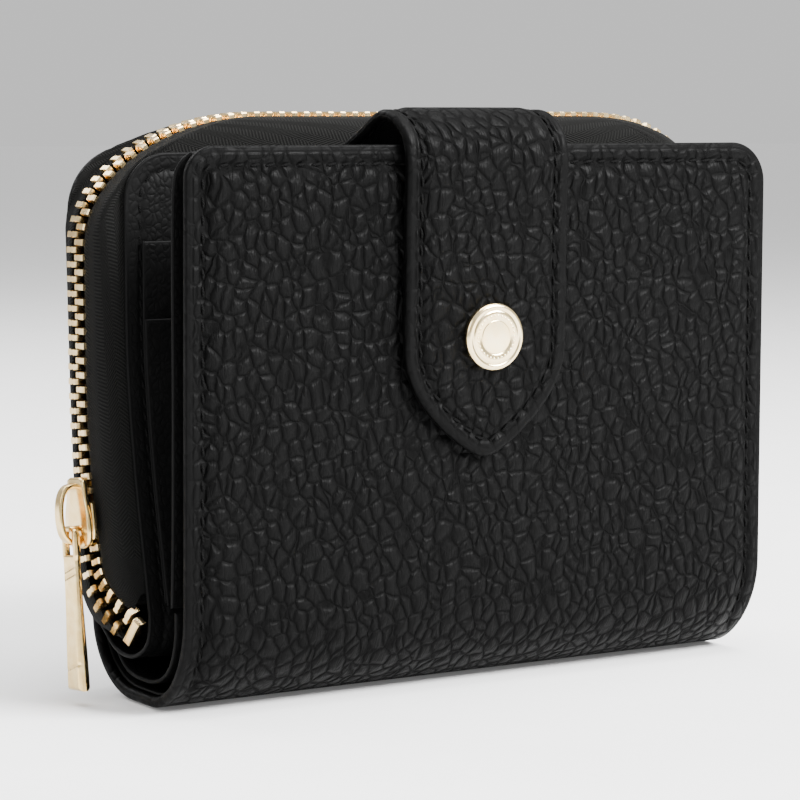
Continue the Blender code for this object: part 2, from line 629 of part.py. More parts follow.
def build_strap():
    """The strap's fixed base on the leaf, its tongue, and the snap's cap and socket."""
    base = smooth_route(STRAP_BASE_ROUTE)
    half = np.full(len(base), STRAP_HALF)
    ribbon("strap_base", base[:-1], half[:-1], half[:-1], STRAP_SKIN + STRAP_LINING + GAP, LEATHER, 0.0, STRAP_X)
    route, arch = strap_route()
    half = strap_half(route[:, 1], np.arange(len(route)) < arch)
    lean = cover_lean()
    snap_place = face_place(STRAP_X, SNAP_Z, STRAP_STANDOFF)
    skin = ribbon("strap_leather", route, half, half, STRAP_SKIN, LEATHER, 0.0, STRAP_X)
    drill(skin, "cap_post_cutter", snap_place, 1.7 * MM, lean)
    lining = ribbon("strap_lining", route, half, half, STRAP_LINING, LINING_LEATHER, STRAP_SKIN + GAP, STRAP_X)
    drill(lining, "socket_cutter", snap_place, 5.4 * MM, lean)
    cap = turned("snap_cap", ((1.3 * MM, -1.15 * MM), (1.3 * MM, 0.3 * MM), (5.6 * MM, 0.3 * MM),
                              (SNAP_RADIUS, 0.6 * MM), (SNAP_RADIUS, 1.2 * MM), (5.5 * MM, 1.7 * MM),
                              (2.5 * MM, 1.8 * MM)), snap_place, lean, GOLD)
    socket = turned("snap_socket", ((2.2 * MM, -1.7 * MM), (2.7 * MM, -1.7 * MM), (2.7 * MM, -2.2 * MM),
                                    (5.0 * MM, -2.2 * MM), (5.0 * MM, -1.4 * MM)), snap_place, lean, GOLD)
    hang([skin, lining, cap, socket], "strap_hinge", STRAP_PIVOT)


def main():
    """Build the wallet."""
    clear_scene()
    build_shell()
    build_front_cover()
    build_compartment()
    build_zip()
    build_pull(build_slider())
    build_strap()


main()
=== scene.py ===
"""Visual model of a compact zip-around wallet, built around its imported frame.

The frame's origin is the middle of the flat strip that the fold stands on. +X runs along the wallet's
width, +Y from the front cover to the back, +Z up. Every length is in metres.
"""

from __future__ import annotations

import json
import logging
import math
from dataclasses import dataclass, field
from enum import Enum
from typing import Callable, Sequence

import bmesh
import bpy
import numpy as np
from mathutils import Matrix, Vector
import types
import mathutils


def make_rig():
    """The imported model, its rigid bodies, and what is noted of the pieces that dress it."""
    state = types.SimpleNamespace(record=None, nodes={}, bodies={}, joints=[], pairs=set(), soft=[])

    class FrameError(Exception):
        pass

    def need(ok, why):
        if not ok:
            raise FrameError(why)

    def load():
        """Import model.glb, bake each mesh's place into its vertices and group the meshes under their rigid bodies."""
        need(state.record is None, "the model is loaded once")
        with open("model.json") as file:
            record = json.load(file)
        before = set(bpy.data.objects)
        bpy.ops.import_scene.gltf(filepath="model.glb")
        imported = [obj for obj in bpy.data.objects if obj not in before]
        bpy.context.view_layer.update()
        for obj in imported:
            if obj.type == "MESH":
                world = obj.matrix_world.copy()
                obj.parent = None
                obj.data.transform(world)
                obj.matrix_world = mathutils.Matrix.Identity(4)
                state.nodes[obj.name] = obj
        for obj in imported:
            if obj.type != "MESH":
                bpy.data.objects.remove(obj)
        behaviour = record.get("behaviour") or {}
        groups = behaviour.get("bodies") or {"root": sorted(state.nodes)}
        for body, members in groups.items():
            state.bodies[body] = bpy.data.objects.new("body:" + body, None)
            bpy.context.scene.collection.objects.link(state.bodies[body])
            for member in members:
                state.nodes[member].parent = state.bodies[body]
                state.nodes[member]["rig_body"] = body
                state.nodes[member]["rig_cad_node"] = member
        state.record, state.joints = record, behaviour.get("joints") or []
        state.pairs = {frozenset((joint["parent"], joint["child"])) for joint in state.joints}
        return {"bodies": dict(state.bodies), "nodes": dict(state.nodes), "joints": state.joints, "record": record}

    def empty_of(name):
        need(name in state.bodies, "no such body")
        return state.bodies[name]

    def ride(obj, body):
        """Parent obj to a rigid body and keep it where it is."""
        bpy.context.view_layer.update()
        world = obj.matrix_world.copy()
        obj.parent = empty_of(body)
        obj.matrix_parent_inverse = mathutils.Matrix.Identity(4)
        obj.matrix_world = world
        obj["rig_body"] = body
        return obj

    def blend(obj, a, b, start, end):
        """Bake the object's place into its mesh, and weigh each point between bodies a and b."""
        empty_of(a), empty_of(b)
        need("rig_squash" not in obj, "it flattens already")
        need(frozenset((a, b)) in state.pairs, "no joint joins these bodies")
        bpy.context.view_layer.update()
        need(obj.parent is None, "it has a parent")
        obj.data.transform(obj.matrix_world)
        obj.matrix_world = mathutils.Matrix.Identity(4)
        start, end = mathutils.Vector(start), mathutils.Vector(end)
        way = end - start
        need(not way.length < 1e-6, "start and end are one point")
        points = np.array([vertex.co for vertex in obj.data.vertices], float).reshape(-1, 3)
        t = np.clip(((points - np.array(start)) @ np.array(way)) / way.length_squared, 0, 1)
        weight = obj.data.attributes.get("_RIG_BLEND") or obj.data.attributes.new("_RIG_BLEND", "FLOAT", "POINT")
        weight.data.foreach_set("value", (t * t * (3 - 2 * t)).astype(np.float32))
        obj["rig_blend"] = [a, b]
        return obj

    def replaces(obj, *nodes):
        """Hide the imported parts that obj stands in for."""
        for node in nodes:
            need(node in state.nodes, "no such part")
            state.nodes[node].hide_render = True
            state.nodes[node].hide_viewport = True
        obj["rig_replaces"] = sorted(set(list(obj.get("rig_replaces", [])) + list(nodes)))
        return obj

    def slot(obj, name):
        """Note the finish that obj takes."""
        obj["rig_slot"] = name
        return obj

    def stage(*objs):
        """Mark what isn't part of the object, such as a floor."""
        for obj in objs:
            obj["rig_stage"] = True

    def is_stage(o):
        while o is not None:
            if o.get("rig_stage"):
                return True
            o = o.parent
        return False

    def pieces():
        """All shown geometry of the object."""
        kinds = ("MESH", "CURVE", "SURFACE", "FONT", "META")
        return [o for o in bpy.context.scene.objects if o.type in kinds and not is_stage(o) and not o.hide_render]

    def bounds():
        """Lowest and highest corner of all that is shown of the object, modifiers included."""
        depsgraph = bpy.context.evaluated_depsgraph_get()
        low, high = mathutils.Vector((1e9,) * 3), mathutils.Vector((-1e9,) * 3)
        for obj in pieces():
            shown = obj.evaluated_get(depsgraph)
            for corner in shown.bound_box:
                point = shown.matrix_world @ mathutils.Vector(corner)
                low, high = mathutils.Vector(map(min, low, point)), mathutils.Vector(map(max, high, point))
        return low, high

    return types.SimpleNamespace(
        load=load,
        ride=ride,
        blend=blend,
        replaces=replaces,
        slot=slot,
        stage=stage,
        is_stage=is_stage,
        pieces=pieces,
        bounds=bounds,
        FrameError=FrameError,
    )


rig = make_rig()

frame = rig.load()

LOG = logging.getLogger("wallet")
MM = 0.001
CELL_SCATTER = 0.85  # how far a cell's centre strays from an even grid, 0 to 1
SLIDER_CREASE = 42.0  # degrees above which an edge of the slider or its pull stays sharp
UP = np.array((0.0, 0.0, 1.0))
Array = np.ndarray
Outline = Callable[[Array], "tuple[Array, Array]"]
Height = Callable[[Array, Array, Array], Array]
CAD_BOX = [list(corner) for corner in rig.bounds()]


class Body(Enum):
    """The bodies that pieces ride on."""

    SHELL = "shell"
    COVER = "front_cover"
    STRAP = "strap_tongue"
    SLIDER = "slider"
    PULL = "pull"


class Slot(Enum):
    """The record's material slots."""

    LEATHER = "pebbled_leather"
    LINING = "lining_leather"
    BOARD = "stiffener_board"
    TAPE = "zip_tape"
    ZIP_METAL = "zip_metal"
    SNAP_METAL = "snap_metal"


# --- number work -------------------------------------------------------------------------------------


def smooth(share: Array) -> Array:
    """Ease from 0 to 1: 3 t squared less 2 t cubed, with t held between 0 and 1.

    Args:
        share: Values to ease.

    Returns:
        The eased values.
    """
    held = np.clip(share, 0.0, 1.0)
    return held * held * (3.0 - 2.0 * held)


def spline(knots: Array, steps: int) -> Array:
    """A Catmull-Rom curve: each span is the cubic whose end slopes are half its neighbours' difference.

    Args:
        knots: Points, or whole rows of points, one after another.
        steps: Samples in each span.

    Returns:
        The samples, the last knot included.
    """
    padded = np.concatenate([2 * knots[:1] - knots[1:2], knots, 2 * knots[-1:] - knots[-2:-1]])
    t = (np.arange(steps) / steps).reshape(1, steps, *[1] * (knots.ndim - 1))
    a, b, c, d = (padded[i:len(padded) - 3 + i, None] for i in range(4))
    spans = 0.5 * (2 * b + (c - a) * t + (2 * a - 5 * b + 4 * c - d) * t**2 + (3 * b - a - 3 * c + d) * t**3)
    return np.concatenate([spans.reshape(-1, *knots.shape[1:]), knots[-1:]])


def curve_through(points: Sequence[Sequence[float]], steps: int = 16) -> Array:
    """The spline through knots given in millimetres.

    Args:
        points: Knots in millimetres.
        steps: Samples in each span.

    Returns:
        Its points in metres.
    """
    return spline(np.array(points, float) * MM, steps)


def run_lengths(line: Array) -> Array:
    """Distance along a line to each of its points."""
    return np.concatenate([[0.0], np.cumsum(np.linalg.norm(np.diff(line, axis=0), axis=1))])


def at_lengths(line: Array, places: Array) -> Array:
    """Points of a line at the given distances along it."""
    lengths = run_lengths(line)
    return np.column_stack([np.interp(places, lengths, line[:, k]) for k in range(line.shape[1])])


def evenly(line: Array, pitch: float) -> Array:
    """Points along a line as near as possible to this pitch, ends kept."""
    total = run_lengths(line)[-1]
    return at_lengths(line, np.linspace(0.0, total, max(2, round(total / pitch) + 1)))


def directions(line: Array) -> Array:
    """Unit directions along a line, from the difference of each point's neighbours."""
    step = np.gradient(line, axis=0)
    return step / np.linalg.norm(step, axis=1)[:, None]


def leftward(line: Array) -> Array:
    """Unit directions to the left of a flat line."""
    heading = directions(line)
    return np.column_stack([-heading[:, 1], heading[:, 0]])


def graded(total: Array, margin: float, rings: int, pitch: float) -> Array:
    """Places across a width: close together at both edges, as the square of a count, and even between.

    Args:
        total: One width for each row.
        margin: Depth of the closely spaced part.
        rings: Number of places in it.
        pitch: Spacing between the two margins on the widest row.

    Returns:
        One row of places for each width.
    """
    total = np.atleast_1d(total)[:, None]
    depth = np.minimum(margin, 0.46 * total)
    lead = depth * np.linspace(0.0, 1.0, rings + 1)[None, :] ** 2
    count = max(2, round(float(total.max() - 2 * margin) / pitch))
    share = np.linspace(0.0, 1.0, count + 1)[None, 1:-1]
    middle = depth + (total - 2 * depth) * share
    return np.hstack([lead, middle, total - lead[:, ::-1]])


def ring_distance(points: Array, ring: Array) -> Array:
    """Distance in the plane from points to a closed ring: the least of those to its straight segments.

    Args:
        points: Places, one a row.
        ring: Corners of the ring in order.

    Returns:
        One distance for each place.
    """
    step = np.roll(ring, -1, axis=0) - ring
    square = np.sum(step * step, axis=1) + 1e-18
    blocks = np.array_split(points, max(1, len(points) // 2500))
    found = []
    for block in blocks:
        offset = block[:, None, :] - ring[None]
        share = np.clip(np.sum(offset * step, axis=2) / square, 0.0, 1.0)
        gap = offset - share[..., None] * step
        found.append(np.sqrt(np.min(np.sum(gap * gap, axis=2), axis=1)))
    return np.concatenate(found)


def grid_faces(rows: int, columns: int, wrap: bool = False) -> Array:
    """Quads of a grid of points numbered row by row.

    Args:
        rows: Points down the grid.
        columns: Points across it.
        wrap: Join the last column to the first.

    Returns:
        Four point numbers for each face.
    """
    index = np.arange(rows * columns).reshape(rows, columns)
    if wrap:
        index = np.hstack([index, index[:, :1]])
    return quads_of(index)


def quads_of(index: Array) -> Array:
    """Quads between neighbouring entries of a table of point numbers."""
    return np.stack([index[:-1, :-1], index[1:, :-1], index[1:, 1:], index[:-1, 1:]], axis=-1).reshape(-1, 4)


# --- meshes ------------------------------------------------------------------------------------------


@dataclass
class Surface:
    """Points and faces of one piece, with what its finish reads."""

    points: Array
    faces: list[list[int]] = field(default_factory=list)
    grain: Array | None = None
    calm: Array | None = None
    chart: Array | None = None

    def joined(self, other: Surface) -> Surface:
        """This surface and another as one, without what finishes read."""
        shifted = [[corner + len(self.points) for corner in face] for face in other.faces]
        return Surface(np.vstack([self.points, other.points]), self.faces + shifted)

    def moved(self, place: Matrix) -> Surface:
        """This surface carried by a matrix."""
        carry = np.array(place, float)
        points = self.points @ carry[:3, :3].T + carry[:3, 3]
        return Surface(points, self.faces, self.grain, self.calm, self.chart)

    def make(self, name: str, finish: bpy.types.Material, crease: float | None = None) -> bpy.types.Object:
        """The piece as an object at the origin.

        Args:
            name: The object's name.
            finish: Its material.
            crease: Angle in degrees above which edges stay sharp; smooth all over if None.

        Returns:
            The new object.
        """
        mesh = bpy.data.meshes.new(name)
        mesh.from_pydata(self.points.tolist(), [], self.faces)
        mesh.materials.append(finish)
        if self.grain is not None:
            mesh.attributes.new("grain", "FLOAT_VECTOR", "POINT").data.foreach_set(
                "vector", self.grain.astype(np.float32).ravel())
        if self.calm is not None:
            mesh.attributes.new("calm", "FLOAT", "POINT").data.foreach_set(
                "value", self.calm.astype(np.float32).ravel())
        if self.chart is not None:
            corners = np.empty(len(mesh.loops), np.int32)
            mesh.loops.foreach_get("vertex_index", corners)
            layer = mesh.uv_layers.new(name="UVMap")
            layer.data.foreach_set("uv", self.chart[corners].astype(np.float32).ravel())
        mesh.shade_smooth()
        if crease is not None:
            mesh.set_sharp_from_angle(angle=math.radians(crease))
        made = bpy.data.objects.new(name, mesh)
        bpy.context.scene.collection.objects.link(made)
        return made


def lathe(profile: Sequence[Sequence[float]], steps: int, place: Matrix) -> Surface:
    """A round piece: each (radius, height) point of the profile becomes a circle about the local Z axis.

    Args:
        profile: Radii and heights in millimetres, from the underside to the middle of the top.
        steps: Points round each circle.
        place: Where the piece goes.

    Returns:
        The closed surface.
    """
    radii, heights = (np.array(profile, float) * MM).T
    turn = np.linspace(0.0, 2 * math.pi, steps, endpoint=False)
    points = np.stack([radii[:, None] * np.cos(turn), radii[:, None] * np.sin(turn),
                       np.repeat(heights[:, None], steps, axis=1)], axis=-1).reshape(-1, 3)
    faces = grid_faces(len(radii), steps, wrap=True)[:, ::-1].tolist()
    last = (len(radii) - 1) * steps
    faces += [list(range(steps))[::-1], list(range(last, last + steps))]
    return Surface(points, faces).moved(place)


def scattered(template: Array, faces: Array, places: Array, axes: Array) -> Surface:
    """Copies of a small shape: each of its points is the place plus its local values along the place's axes.

    Args:
        template: Points of the shape in its own axes.
        faces: Its faces.
        places: Where the copies go.
        axes: Three unit axes for each copy, as rows.

    Returns:
        All copies in one surface.
    """
    points = places[:, None, :] + np.einsum("tk,nkc->ntc", template, axes)
    shift = (np.arange(len(places)) * len(template))[:, None, None]
    width = faces.shape[1]
    return Surface(points.reshape(-1, 3), (faces[None] + shift).reshape(-1, width).tolist())


def even(half: float) -> Outline:
    """An outline whose sides stay this far from the middle."""
    return lambda place: (np.full(len(place), half), np.full(len(place), half))


def no_relief(distance: Array, across: Array, along: Array) -> Array:
    """A flat face."""
    return np.zeros_like(distance)


@dataclass(frozen=True)
class Relief:
    """Stitched leather: a pressed band at the edge, a sunken seam and a field that puffs out.

    The height is the band's, plus an eased step to the field's, less a bell curve centred on the seam.
    """

    seam: float = 3.3 * MM
    sink: float = 0.25 * MM
    puff: float = 0.35 * MM
    step: float = 3.2 * MM
    groove: float = 0.38 * MM
    groove_width: float = 0.62 * MM
    sway: float = 0.10 * MM

    def __call__(self, distance: Array, across: Array, along: Array) -> Array:
        """Height of the face above its even level.

        Args:
            distance: Distance from the panel's edge.
            across: Place across the panel.
            along: Place along it.

        Returns:
            The heights.
        """
        field_share = smooth((distance - self.seam) / self.step)
        bell = np.exp(-(((distance - self.seam) / self.groove_width) ** 2))
        slow = np.sin(across / 0.0113 + 1.7 * np.sin(along / 0.019)) * np.sin(along / 0.0142 + 0.6)
        rise = (self.sink + self.puff) * field_share - self.sink - self.groove * bell
        return rise + self.sway * slow * field_share


@dataclass
class Panel:
    """A sheet with rounded edges that follows a (y, z) route and spreads along X.

    Both faces share the ring of edge points, which lies at half the thickness. Away from it each face
    rises as a quarter circle of the lip's radius and then follows its own relief.
    """

    name: str
    route: Array
    outline: Outline
    thickness: float
    outer: Height = no_relief
    inner: Height = no_relief
    lip: float | None = None
    centre: float = 0.0
    pitch: float = 1.5 * MM
    margin: float = 7.0 * MM
    rings: int = 30
    calm_depth: float = 1.0 * MM
    pressed: float = 0.0
    pressed_depth: float = 3.0 * MM

    def __post_init__(self) -> None:
        """Even out the route and find its normals, which point from the outer face to the inner."""
        self.route = evenly(self.route, 0.25 * MM)
        self.lengths = run_lengths(self.route)
        heading = directions(self.route)
        window = np.ones(9) / 9
        padded = np.pad(heading, ((4, 4), (0, 0)), mode="edge")
        heading = np.column_stack([np.convolve(padded[:, k], window, mode="valid") for k in range(2)])
        heading /= np.linalg.norm(heading, axis=1)[:, None]
        self.normals = np.column_stack([-heading[:, 1], heading[:, 0]])

    def on_route(self, along: Array) -> tuple[Array, Array]:
        """Route points and unit normals at distances along it."""
        base = np.column_stack([np.interp(along, self.lengths, self.route[:, k]) for k in range(2)])
        normal = np.column_stack([np.interp(along, self.lengths, self.normals[:, k]) for k in range(2)])
        return base, normal / np.linalg.norm(normal, axis=1)[:, None]

    def lay_out(self) -> tuple[Array, Array]:
        """The flat grid: places across and along, one row for each station."""
        along = graded(np.array([self.lengths[-1]]), self.margin, self.rings, self.pitch)[0]
        base, _ = self.on_route(along)
        left, right = self.outline(base)
        across = graded(left + right, self.margin, self.rings, self.pitch) - left[:, None]
        return across, np.repeat(along[:, None], across.shape[1], axis=1)

    def ring(self, across: Array, along: Array) -> Array:
        """The flat grid's outline, down its left side and up its right."""
        left = np.column_stack([across[:, 0], along[:, 0]])
        right = np.column_stack([across[::-1, -1], along[::-1, -1]])
        return np.vstack([left, right])

    def rise(self, distance: Array) -> Array:
        """Height of a plain face above the middle of the sheet, at a distance from its edge."""
        half = self.thickness / 2
        lip = half if self.lip is None else min(self.lip, half)
        near = 1.0 - np.clip(distance / lip, 0.0, 1.0)
        return half - lip + lip * np.sqrt(1.0 - near * near)

    def place(self, across: Array, along: Array, lift: Array) -> Array:
        """Points at flat places, lifted outwards from the route."""
        base, normal = self.on_route(along)
        yz = base - normal * lift[:, None]
        return np.column_stack([across + self.centre, yz])

    def surface(self) -> Surface:
        """The whole sheet as one closed surface.

        Returns:
            The surface, with its grain in flat coordinates and its calm parts marked.
        """
        across, along = self.lay_out()
        rows, columns = across.shape
        flat_across, flat_along = across.ravel(), along.ravel()
        distance = ring_distance(np.column_stack([flat_across, flat_along]), self.ring(across, along))
        rim = np.ones((rows, columns), bool)
        rim[1:-1, 1:-1] = False
        rim = rim.ravel()
        rise = np.where(rim, 0.0, self.rise(distance))
        half = self.thickness / 2
        blend = smooth(distance / (0.6 * MM))
        top = np.where(rim, 0.0, rise + self.outer(distance, flat_across, flat_along) * blend)
        low = np.where(rim, 0.0, rise + self.inner(distance, flat_across, flat_along) * blend)
        front = self.place(flat_across, flat_along, top - half)
        back = self.place(flat_across, flat_along, -low - half)
        index = np.arange(rows * columns).reshape(rows, columns)
        under = index.copy()
        under[1:-1, 1:-1] = rows * columns + np.arange((rows - 2) * (columns - 2)).reshape(rows - 2, -1)
        faces = np.vstack([quads_of(index), quads_of(under)[:, ::-1]])
        inside = ~rim
        points = np.vstack([front, back[inside]])
        flat = np.column_stack([flat_across, flat_along, top])
        flat_back = np.column_stack([flat_across, flat_along, -low - 0.01])
        calm = 1.0 - smooth((distance - 0.75 * self.calm_depth) / (0.5 * self.calm_depth))
        band = self.pressed * (1.0 - smooth((distance - self.pressed_depth) / (0.8 * MM)))
        calm = np.maximum(calm, band)
        return Surface(points, faces.tolist(), np.vstack([flat, flat_back[inside]]),
                       np.concatenate([calm, calm[inside]]))

    def inset(self, depth: float) -> Array:
        """The flat line that runs this far inside the edge, as (across, along) points."""
        across, along = self.lay_out()
        ring = self.ring(across, along)
        closed = evenly(np.vstack([ring, ring[:1]]), 0.2 * MM)[:-1]
        heading = np.roll(closed, -3, axis=0) - np.roll(closed, 3, axis=0)
        heading /= np.linalg.norm(heading, axis=1)[:, None] + 1e-12
        moved = closed + depth * np.column_stack([-heading[:, 1], heading[:, 0]])
        middle = closed.mean(axis=0)
        if np.linalg.norm(moved[0] - middle) > np.linalg.norm(closed[0] - middle):
            moved = 2 * closed - moved
        return moved[ring_distance(moved, ring) > 0.985 * depth]


@dataclass(frozen=True)
class Stitching:
    """A row of lockstitches: short slanted strands that dip into the leather at both ends."""

    pitch: float = 3.0 * MM
    strand: float = 2.35 * MM
    width: float = 0.52 * MM
    slant: float = math.radians(9.0)
    dip: float = 0.34 * MM

    def template(self) -> tuple[Array, Array]:
        """One strand: ellipses whose radius swells from its ends, along an arched line."""
        share = np.linspace(-1.0, 1.0, 7)[:, None]
        turn = np.linspace(0.0, 2 * math.pi, 6, endpoint=False)[None]
        radius = self.width / 2 * (1.0 - share**4) ** 0.5 + 0.02 * MM
        along = np.repeat(share * self.strand / 2, 6, axis=1)
        points = np.stack([along, radius * np.cos(turn), 0.8 * radius * np.sin(turn) - self.dip * share**2], axis=-1)
        return points.reshape(-1, 3), grid_faces(7, 6, wrap=True)[:, ::-1]

    def sew(self, panel: Panel, line: Array, lift: float, closed: bool = True) -> Surface:
        """Strands along a flat line on a panel.

        Args:
            panel: The panel that is sewn.
            line: Flat (across, along) points.
            lift: Height of the strands' middle above the panel's even level.
            closed: Join the line's last point to its first.

        Returns:
            All strands in one surface.
        """
        path = np.vstack([line, line[:1]]) if closed else line
        total = run_lengths(path)[-1]
        count = max(1, int(total / self.pitch))
        places = (np.arange(count) + 0.5) * total / count
        near, far = at_lengths(path, places - 0.3 * MM), at_lengths(path, places + 0.3 * MM)
        spot = at_lengths(path, places)
        level = np.full(count, lift)
        middle = panel.place(spot[:, 0], spot[:, 1], level)
        ahead = panel.place(far[:, 0], far[:, 1], level) - panel.place(near[:, 0], near[:, 1], level)
        ahead /= np.linalg.norm(ahead, axis=1)[:, None]
        outward = panel.place(spot[:, 0], spot[:, 1], level + MM) - middle
        outward /= np.linalg.norm(outward, axis=1)[:, None]
        side = np.cross(outward, ahead)
        turned = ahead * math.cos(self.slant) + side * math.sin(self.slant)
        axes = np.stack([turned, np.cross(outward, turned), outward], axis=1)
        shape, faces = self.template()
        return scattered(shape, faces, middle, axes)


# --- finishes ----------------------------------------------------------------------------------------


class Signal:
    """A value socket whose arithmetic adds Math nodes to its recipe's tree."""

    def __init__(self, recipe: Recipe, socket: bpy.types.NodeSocket) -> None:
        """Wrap one output socket."""
        self.recipe = recipe
        self.socket = socket

    def join(self, operation: str, other: Signal | float, reverse: bool = False) -> Signal:
        """This value and another through one Math node."""
        pair = (other, self) if reverse else (self, other)
        node = self.recipe.node("ShaderNodeMath", {"operation": operation}, dict(enumerate(pair)))
        return Signal(self.recipe, node.outputs[0])

    def __add__(self, other: Signal | float) -> Signal:
        """Sum."""
        return self.join("ADD", other)

    __radd__ = __add__

    def __mul__(self, other: Signal | float) -> Signal:
        """Product."""
        return self.join("MULTIPLY", other)

    __rmul__ = __mul__

    def __sub__(self, other: Signal | float) -> Signal:
        """Difference."""
        return self.join("SUBTRACT", other)

    def __rsub__(self, other: Signal | float) -> Signal:
        """Difference the other way round."""
        return self.join("SUBTRACT", other, reverse=True)

    def __truediv__(self, other: Signal | float) -> Signal:
        """Quotient."""
        return self.join("DIVIDE", other)

    def sine(self) -> Signal:
        """Sine of the value."""
        return Signal(self.recipe, self.recipe.node("ShaderNodeMath", {"operation": "SINE"}, {0: self}).outputs[0])

    def bounce(self, width: float) -> Signal:
        """A triangle wave between 0 and this width."""
        return self.join("PINGPONG", width)

    def eased(self, low: float, high: float) -> Signal:
        """0 below low, 1 above high and eased between them."""
        node = self.recipe.node("ShaderNodeMapRange", {"interpolation_type": "SMOOTHSTEP"},
                                {0: self, 1: low, 2: high, 3: 0.0, 4: 1.0})
        return Signal(self.recipe, node.outputs[0])


class Recipe:
    """One material's node tree round its Principled shader."""

    def __init__(self, name: str) -> None:
        """Start a material of this name."""
        self.material = bpy.data.materials.new(name)
        self.material.use_nodes = True
        self.tree = self.material.node_tree
        self.shader = self.tree.nodes["Principled BSDF"]

    def node(self, kind: str, settings: dict | None = None, inputs: dict | None = None) -> bpy.types.Node:
        """Add a node, its settings first and then its sockets' values or links."""
        made = self.tree.nodes.new(kind)
        for key, value in (settings or {}).items():
            setattr(made, key, value)
        for key, value in (inputs or {}).items():
            self.feed(made.inputs[key], value)
        return made

    def feed(self, socket: bpy.types.NodeSocket, value: object) -> None:
        """Set a socket's value, or link what is given to it."""
        value = value.socket if isinstance(value, Signal) else value
        if isinstance(value, bpy.types.NodeSocket):
            self.tree.links.new(value, socket)
        else:
            socket.default_value = value

    def shade(self, **inputs: object) -> None:
        """Feed the shader's sockets, named with underscores for spaces."""
        for key, value in inputs.items():
            self.feed(self.shader.inputs[key.replace("_", " ")], value)

    def place(self, source: str | None) -> bpy.types.NodeSocket:
        """The piece's own vector attribute of this name, or Object coordinates if None."""
        if source:
            return self.node("ShaderNodeAttribute", {"attribute_name": source}).outputs["Vector"]
        return self.node("ShaderNodeTexCoord").outputs["Object"]

    def mark(self, source: str) -> Signal:
        """The piece's own value attribute of this name."""
        return Signal(self, self.node("ShaderNodeAttribute", {"attribute_name": source}).outputs["Fac"])

    def noise(self, where: bpy.types.NodeSocket, scale: float, detail: float = 2.0) -> Signal:
        """Noise between 0 and 1."""
        found = self.node("ShaderNodeTexNoise", {}, {"Vector": where, "Scale": scale, "Detail": detail})
        return Signal(self, found.outputs["Fac"])

    def cells(self, where: bpy.types.NodeSocket, scale: float, feature: str) -> Signal:
        """Distances in a Voronoi pattern."""
        found = self.node("ShaderNodeTexVoronoi", {"feature": feature},
                          {"Vector": where, "Scale": scale, "Randomness": CELL_SCATTER})
        return Signal(self, found.outputs["Distance"])

    def warped(self, where: bpy.types.NodeSocket, scale: float, reach: float,
               stretch: Sequence[float]) -> bpy.types.NodeSocket:
        """Coordinates stretched along their axes and pushed about by noise.

        Args:
            where: Coordinates in metres.
            scale: Scale of the noise.
            reach: How far it pushes, in metres.
            stretch: Factor for each axis.

        Returns:
            The new coordinates' socket.
        """
        push = self.node("ShaderNodeTexNoise", {}, {"Vector": where, "Scale": scale, "Detail": 1.0})
        centred = self.node("ShaderNodeVectorMath", {"operation": "SUBTRACT"},
                            {0: push.outputs["Color"], 1: (0.5, 0.5, 0.5)})
        summed = self.node("ShaderNodeVectorMath", {"operation": "MULTIPLY_ADD"},
                         {0: centred.outputs[0], 1: (reach, reach, reach), 2: where})
        scaled = self.node("ShaderNodeVectorMath", {"operation": "MULTIPLY"}, {0: summed.outputs[0], 1: tuple(stretch)})
        return scaled.outputs[0]

    def mixed(self, share: Signal, first: Sequence[float], second: Sequence[float]) -> bpy.types.NodeSocket:
        """A colour between two."""
        node = self.node("ShaderNodeMix", {"data_type": "RGBA"}, {0: share, 6: (*first, 1.0), 7: (*second, 1.0)})
        return node.outputs[2]

    def bump(self, height: Signal, distance: float, strength: float = 1.0) -> bpy.types.NodeSocket:
        """A normal from a height between 0 and 1 that stands this many metres high."""
        node = self.node("ShaderNodeBump", {}, {"Height": height, "Distance": distance, "Strength": strength})
        return node.outputs["Normal"]


